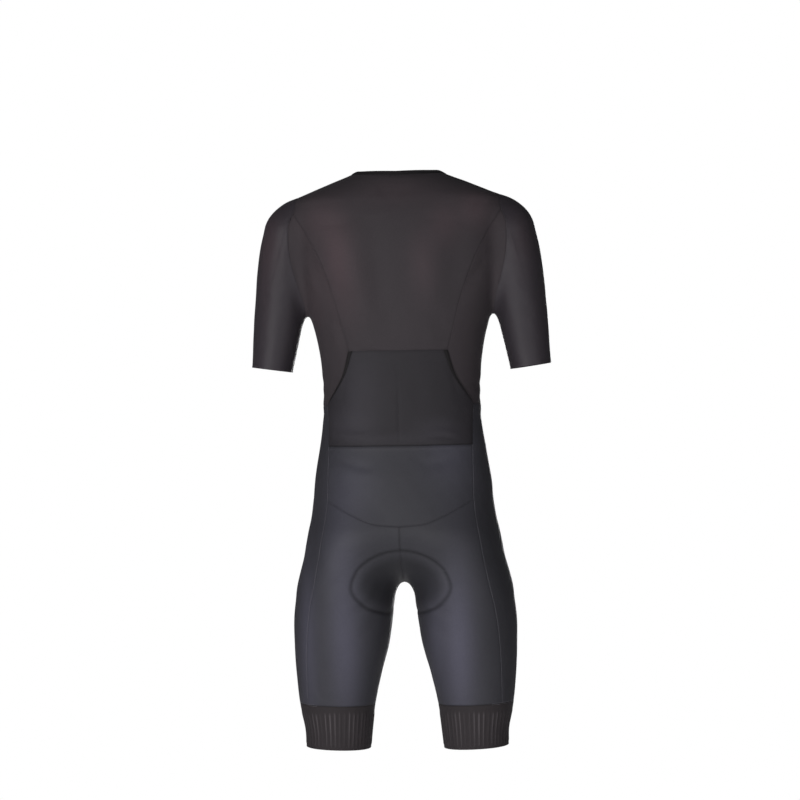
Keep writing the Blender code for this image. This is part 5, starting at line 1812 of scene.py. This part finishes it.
def amount_of(tree, name):
    """The darkening (dark seams and painted shade) and the paleness (stretched cloth and painted
    light) that a piece carries at each point, whichever is named.
    """
    settings = {"attribute_name": name, "attribute_type": "GEOMETRY"}
    return linked(tree, "ShaderNodeAttribute", {}, **settings).outputs["Fac"]


def knit(name, colour, roughness, sheen, pitch, weave, depth, pale=None):
    """A cloth finish: its stitches, uneven dye, soft bloom, the darkening that a piece carries at
    its seams and as painted shade, and the paler colour that it carries as stretched cloth and
    painted light.
    """
    made, tree, shader = new_finish(name)
    laid = linked(tree, "ShaderNodeUVMap", {}, uv_map="weave").outputs["UV"]
    place = linked(tree, "ShaderNodeTexCoord", {}).outputs["Object"]
    inputs = {"Vector": laid, "Scale": (1 / pitch[0], 1 / pitch[1], 1)}
    spread = linked(tree, "ShaderNodeMapping", inputs).outputs["Vector"]
    if weave == "mesh":
        inputs = {"Vector": spread, "Scale": 1.0, "Randomness": 0.25}
        holes = linked(tree, "ShaderNodeTexVoronoi", inputs)
        pattern = between(tree, holes.outputs["Distance"], *MESH_HOLES)
    else:
        wales = waves(tree, spread, 1.0, 0.35, 0.6, "X")
        courses = waves(tree, spread, 1.6, 0.5, 0.8, "DIAGONAL" if weave == "twill" else "Y")
        pattern = product(tree, wales, between(tree, courses, *COURSE_DEPTHS))
    dye = noise(tree, place, DYE_SCALE, 3.0, Roughness=0.55)
    heather = noise(tree, place, HEATHER_SCALE, 2.0)
    flecks = between(tree, heather, *HEATHER_TONES)
    tone = product(tree, between(tree, dye, *DYE_TONES), flecks)
    tone = product(tree, tone, between(tree, pattern, *STITCH_TONES))
    # Dark seams and painted shade darken the colour; the pale colour is mixed in where paleness and
    # painted light are carried.
    tone = product(tree, tone, between(tree, amount_of(tree, "dark_and_shade"), *DARK_AND_SHADE_TONES))
    inputs = {0: amount_of(tree, "pale"), 6: (*colour, 1), 7: (*(pale or colour), 1)}
    dyed = linked(tree, "ShaderNodeMix", inputs, data_type="RGBA", clamp_factor=True).outputs[2]
    shade = linked(tree, "ShaderNodeVectorMath", {0: dyed, "Scale": tone}, operation="SCALE")
    tree.links.new(shade.outputs["Vector"], shader.inputs["Base Color"])
    rough = between(tree, heather, *(roughness + change for change in KNIT_ROUGHER))
    tree.links.new(rough, shader.inputs["Roughness"])
    height = product(tree, pattern, product(tree, heather, FUZZ), operation="ADD")
    inputs = {"Height": height, "Strength": KNIT_BUMP, "Distance": depth}
    bump = linked(tree, "ShaderNodeBump", inputs)
    tree.links.new(bump.outputs["Normal"], shader.inputs["Normal"])
    shader.inputs["Sheen Weight"].default_value = sheen
    shader.inputs["Sheen Roughness"].default_value = BLOOM_ROUGHNESS
    shader.inputs["Sheen Tint"].default_value = BLOOM_TINT
    shader.inputs["Specular IOR Level"].default_value = GLOSS
    return made


def hard(name, colour, roughness, metallic, grain, wear):
    """A hard finish, moulded or lacquered, its gloss broken up by fine grain and rubbed marks."""
    made, tree, shader = new_finish(name)
    place = linked(tree, "ShaderNodeTexCoord", {}).outputs["Object"]
    fine = noise(tree, place, grain, 3.0)
    rubbed = noise(tree, place, grain / RUBBED_COARSER, 4.0)
    tone = between(tree, rubbed, 1 - wear, 1 + wear)
    shade = linked(tree, "ShaderNodeVectorMath", {0: colour, "Scale": tone}, operation="SCALE")
    tree.links.new(shade.outputs["Vector"], shader.inputs["Base Color"])
    rough = between(tree, rubbed, *(roughness + change for change in HARD_ROUGHER))
    tree.links.new(rough, shader.inputs["Roughness"])
    inputs = {"Height": fine, "Strength": GRAIN_BUMP, "Distance": GRAIN_DEPTH}
    bump = linked(tree, "ShaderNodeBump", inputs)
    tree.links.new(bump.outputs["Normal"], shader.inputs["Normal"])
    shader.inputs["Metallic"].default_value = metallic
    return made


# The pale colours mixed in where a piece is painted paler: the ribs' own colour and mesh stretched
# thin, and painted light and painted highlight.
WARM = (0.080, 0.056, 0.064)
COOL_PAINTED_HIGHLIGHT = (0.097, 0.094, 0.130)
RIBBED = (0.150, 0.132, 0.142)
POCKET_PAINTED_LIGHT_COLOUR = (0.060, 0.055, 0.068)
# How far apart the stitches are, across and along.
SMALL = (0.9 * MM, 1.1 * MM)
FINE_KNIT = (2.4 * MM, 2.4 * MM)
FOAM_CELLS = (3.2 * MM, 3.2 * MM)
TAPE_WEAVE = (3.4 * MM, 1.7 * MM)
TWIST = (MM, MM)
# Each cloth's colour, roughness, bloom, stitches, weave, the weave's depth and its pale colour.
KNITS = {
    "bodice_mesh": ((0.0445, 0.0375, 0.0425), 0.72, 0.05, SMALL, "mesh", 0.35 * MM, WARM),
    "side_mesh": ((0.045, 0.037, 0.042), 0.72, 0.05, SMALL, "mesh", 0.35 * MM, WARM),
    "sleeve_knit": ((0.047, 0.040, 0.048), 0.48, 0.05, FINE_KNIT, "jersey", 0.12 * MM, WARM),
    "pocket_knit": ((0.0285, 0.0255, 0.0305), 0.62, 0.05, FINE_KNIT, "jersey", 0.14 * MM, POCKET_PAINTED_LIGHT_COLOUR),
    "leg_knit": ((0.046, 0.045, 0.054), 0.54, 0.05, FINE_KNIT, "twill", 0.10 * MM, COOL_PAINTED_HIGHLIGHT),
    "leg_side_knit": ((0.042, 0.041, 0.049), 0.58, 0.05, FINE_KNIT, "jersey", 0.10 * MM, COOL_PAINTED_HIGHLIGHT),
    "gripper_band": ((0.037, 0.031, 0.034), 0.72, 0.05, FINE_KNIT, "jersey", 0.18 * MM, RIBBED),
    "binding": ((0.022, 0.019, 0.021), 0.66, 0.04, FINE_KNIT, "jersey", 0.12 * MM),
    "pad_foam": ((0.024, 0.024, 0.028), 0.90, 0.25, FOAM_CELLS, "jersey", 0.10 * MM),
    "zip_tape": ((0.020, 0.019, 0.021), 0.75, 0.05, TAPE_WEAVE, "twill", 0.15 * MM),
    "dark_thread": ((0.040, 0.035, 0.040), 0.6, 0.05, TWIST, "twill", 0.05 * MM),
    "light_thread": ((0.26, 0.25, 0.29), 0.55, 0.05, TWIST, "twill", 0.05 * MM),
}
# Each hard finish's colour, roughness, metal, how fine its grain is and how worn it is.
HARD = {
    "zip_teeth": ((0.016, 0.016, 0.017), 0.42, 0.0, 2500.0, 0.12),
    "zip_metal": ((0.034, 0.034, 0.036), 0.34, 0.75, 1800.0, 0.2),
}


def finishes():
    """Every finish of the suit, by name."""
    made = {name: knit(name, *row) for name, row in KNITS.items()}
    return made | {name: hard(name, *row) for name, row in HARD.items()}


# ---------------------------------------------------------------- the studio

FLOOR_DOWN = 2.1
FLOOR_RADIUS = 5
FLOOR_SEGMENTS = 96
FLOOR_COLOUR = (0.9, 0.9, 0.9, 1)
FLOOR_ROUGH = 0.9
WHITE = (1, 1, 1, 1)


def make_floor():
    """A pale floor far below, which looks as bright as the surround."""
    bm = bmesh.new()
    place = Matrix.Translation((0, 0, -FLOOR_DOWN))
    shape = {"cap_ends": True, "segments": FLOOR_SEGMENTS, "radius": FLOOR_RADIUS}
    bmesh.ops.create_circle(bm, matrix=place, **shape)
    mesh = bpy.data.meshes.new("floor")
    bm.to_mesh(mesh)
    bm.free()
    floor = bpy.data.objects.new("floor", mesh)
    bpy.context.scene.collection.objects.link(floor)
    pale, tree, shader = new_finish("pale_floor")
    shader.inputs["Base Color"].default_value = FLOOR_COLOUR
    shader.inputs["Roughness"].default_value = FLOOR_ROUGH
    shader.inputs["Emission Color"].default_value = WHITE
    path = linked(tree, "ShaderNodeLightPath", {}).outputs["Is Camera Ray"]
    tree.links.new(between(tree, path, *FLOOR_GLOW), shader.inputs["Emission Strength"])
    mesh.materials.append(pale)


def make_surround():
    """A white surround that is seen bright and lights the suit only faintly."""
    world = bpy.data.worlds.new("studio")
    bpy.context.scene.world = world
    world.use_nodes = True
    tree = world.node_tree
    tree.nodes.clear()
    as_light, as_seen = (
        linked(tree, "ShaderNodeBackground", {"Color": WHITE, "Strength": strength}).outputs[0]
        for strength in SURROUND
    )
    path = linked(tree, "ShaderNodeLightPath", {}).outputs["Is Camera Ray"]
    mixed = linked(tree, "ShaderNodeMixShader", {0: path, 1: as_light, 2: as_seen})
    linked(tree, "ShaderNodeOutputWorld", {"Surface": mixed.outputs[0]})


def make_lights():
    """The large soft lights, behind the suit and before it."""
    for name, place, aim, size, power in LIGHTS:
        light = bpy.data.lights.new(name, "AREA")
        light.shape = "RECTANGLE"
        light.size, light.size_y = size
        light.energy = power
        lamp = bpy.data.objects.new(name, light)
        lamp.location = place
        lamp.rotation_euler = (Vector(aim) - Vector(place)).to_track_quat("-Z", "Y").to_euler()
        bpy.context.scene.collection.objects.link(lamp)


def make_camera():
    """The camera behind the suit, a little to the wearer's right."""
    lens = bpy.data.cameras.new("camera")
    lens.lens, lens.sensor_width = CAMERA_LENS, CAMERA_SENSOR
    camera = bpy.data.objects.new("camera", lens)
    place = Vector((-math.sin(CAMERA_TURN), math.cos(CAMERA_TURN), 0)) * CAMERA_FAR + CAMERA_AIM
    looking = (CAMERA_AIM - place).to_track_quat("-Z", "Y").to_matrix()
    camera.rotation_euler = (looking @ Matrix.Rotation(CAMERA_ROLL, 3, "Z")).to_euler()
    camera.location = place
    bpy.context.scene.collection.objects.link(camera)
    bpy.context.scene.camera = camera
    bpy.context.scene.view_settings.view_transform = "Standard"


def main():
    """The studio, then every piece of the suit."""
    make_camera()
    make_floor()
    make_surround()
    make_lights()
    found = seams()
    pocket_row = make_pocket(found, make_back(found))
    make_bodice(found)
    make_shorts(found, *make_pad())
    make_grippers()
    neck_row = make_binding(found)
    make_zip(found)
    make_stitching(found, neck_row, pocket_row)
    for node in ("zip_slider", "zip_pull"):
        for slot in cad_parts[node].material_slots:
            slot.material = MADE["zip_metal"]


MADE = finishes()
main()
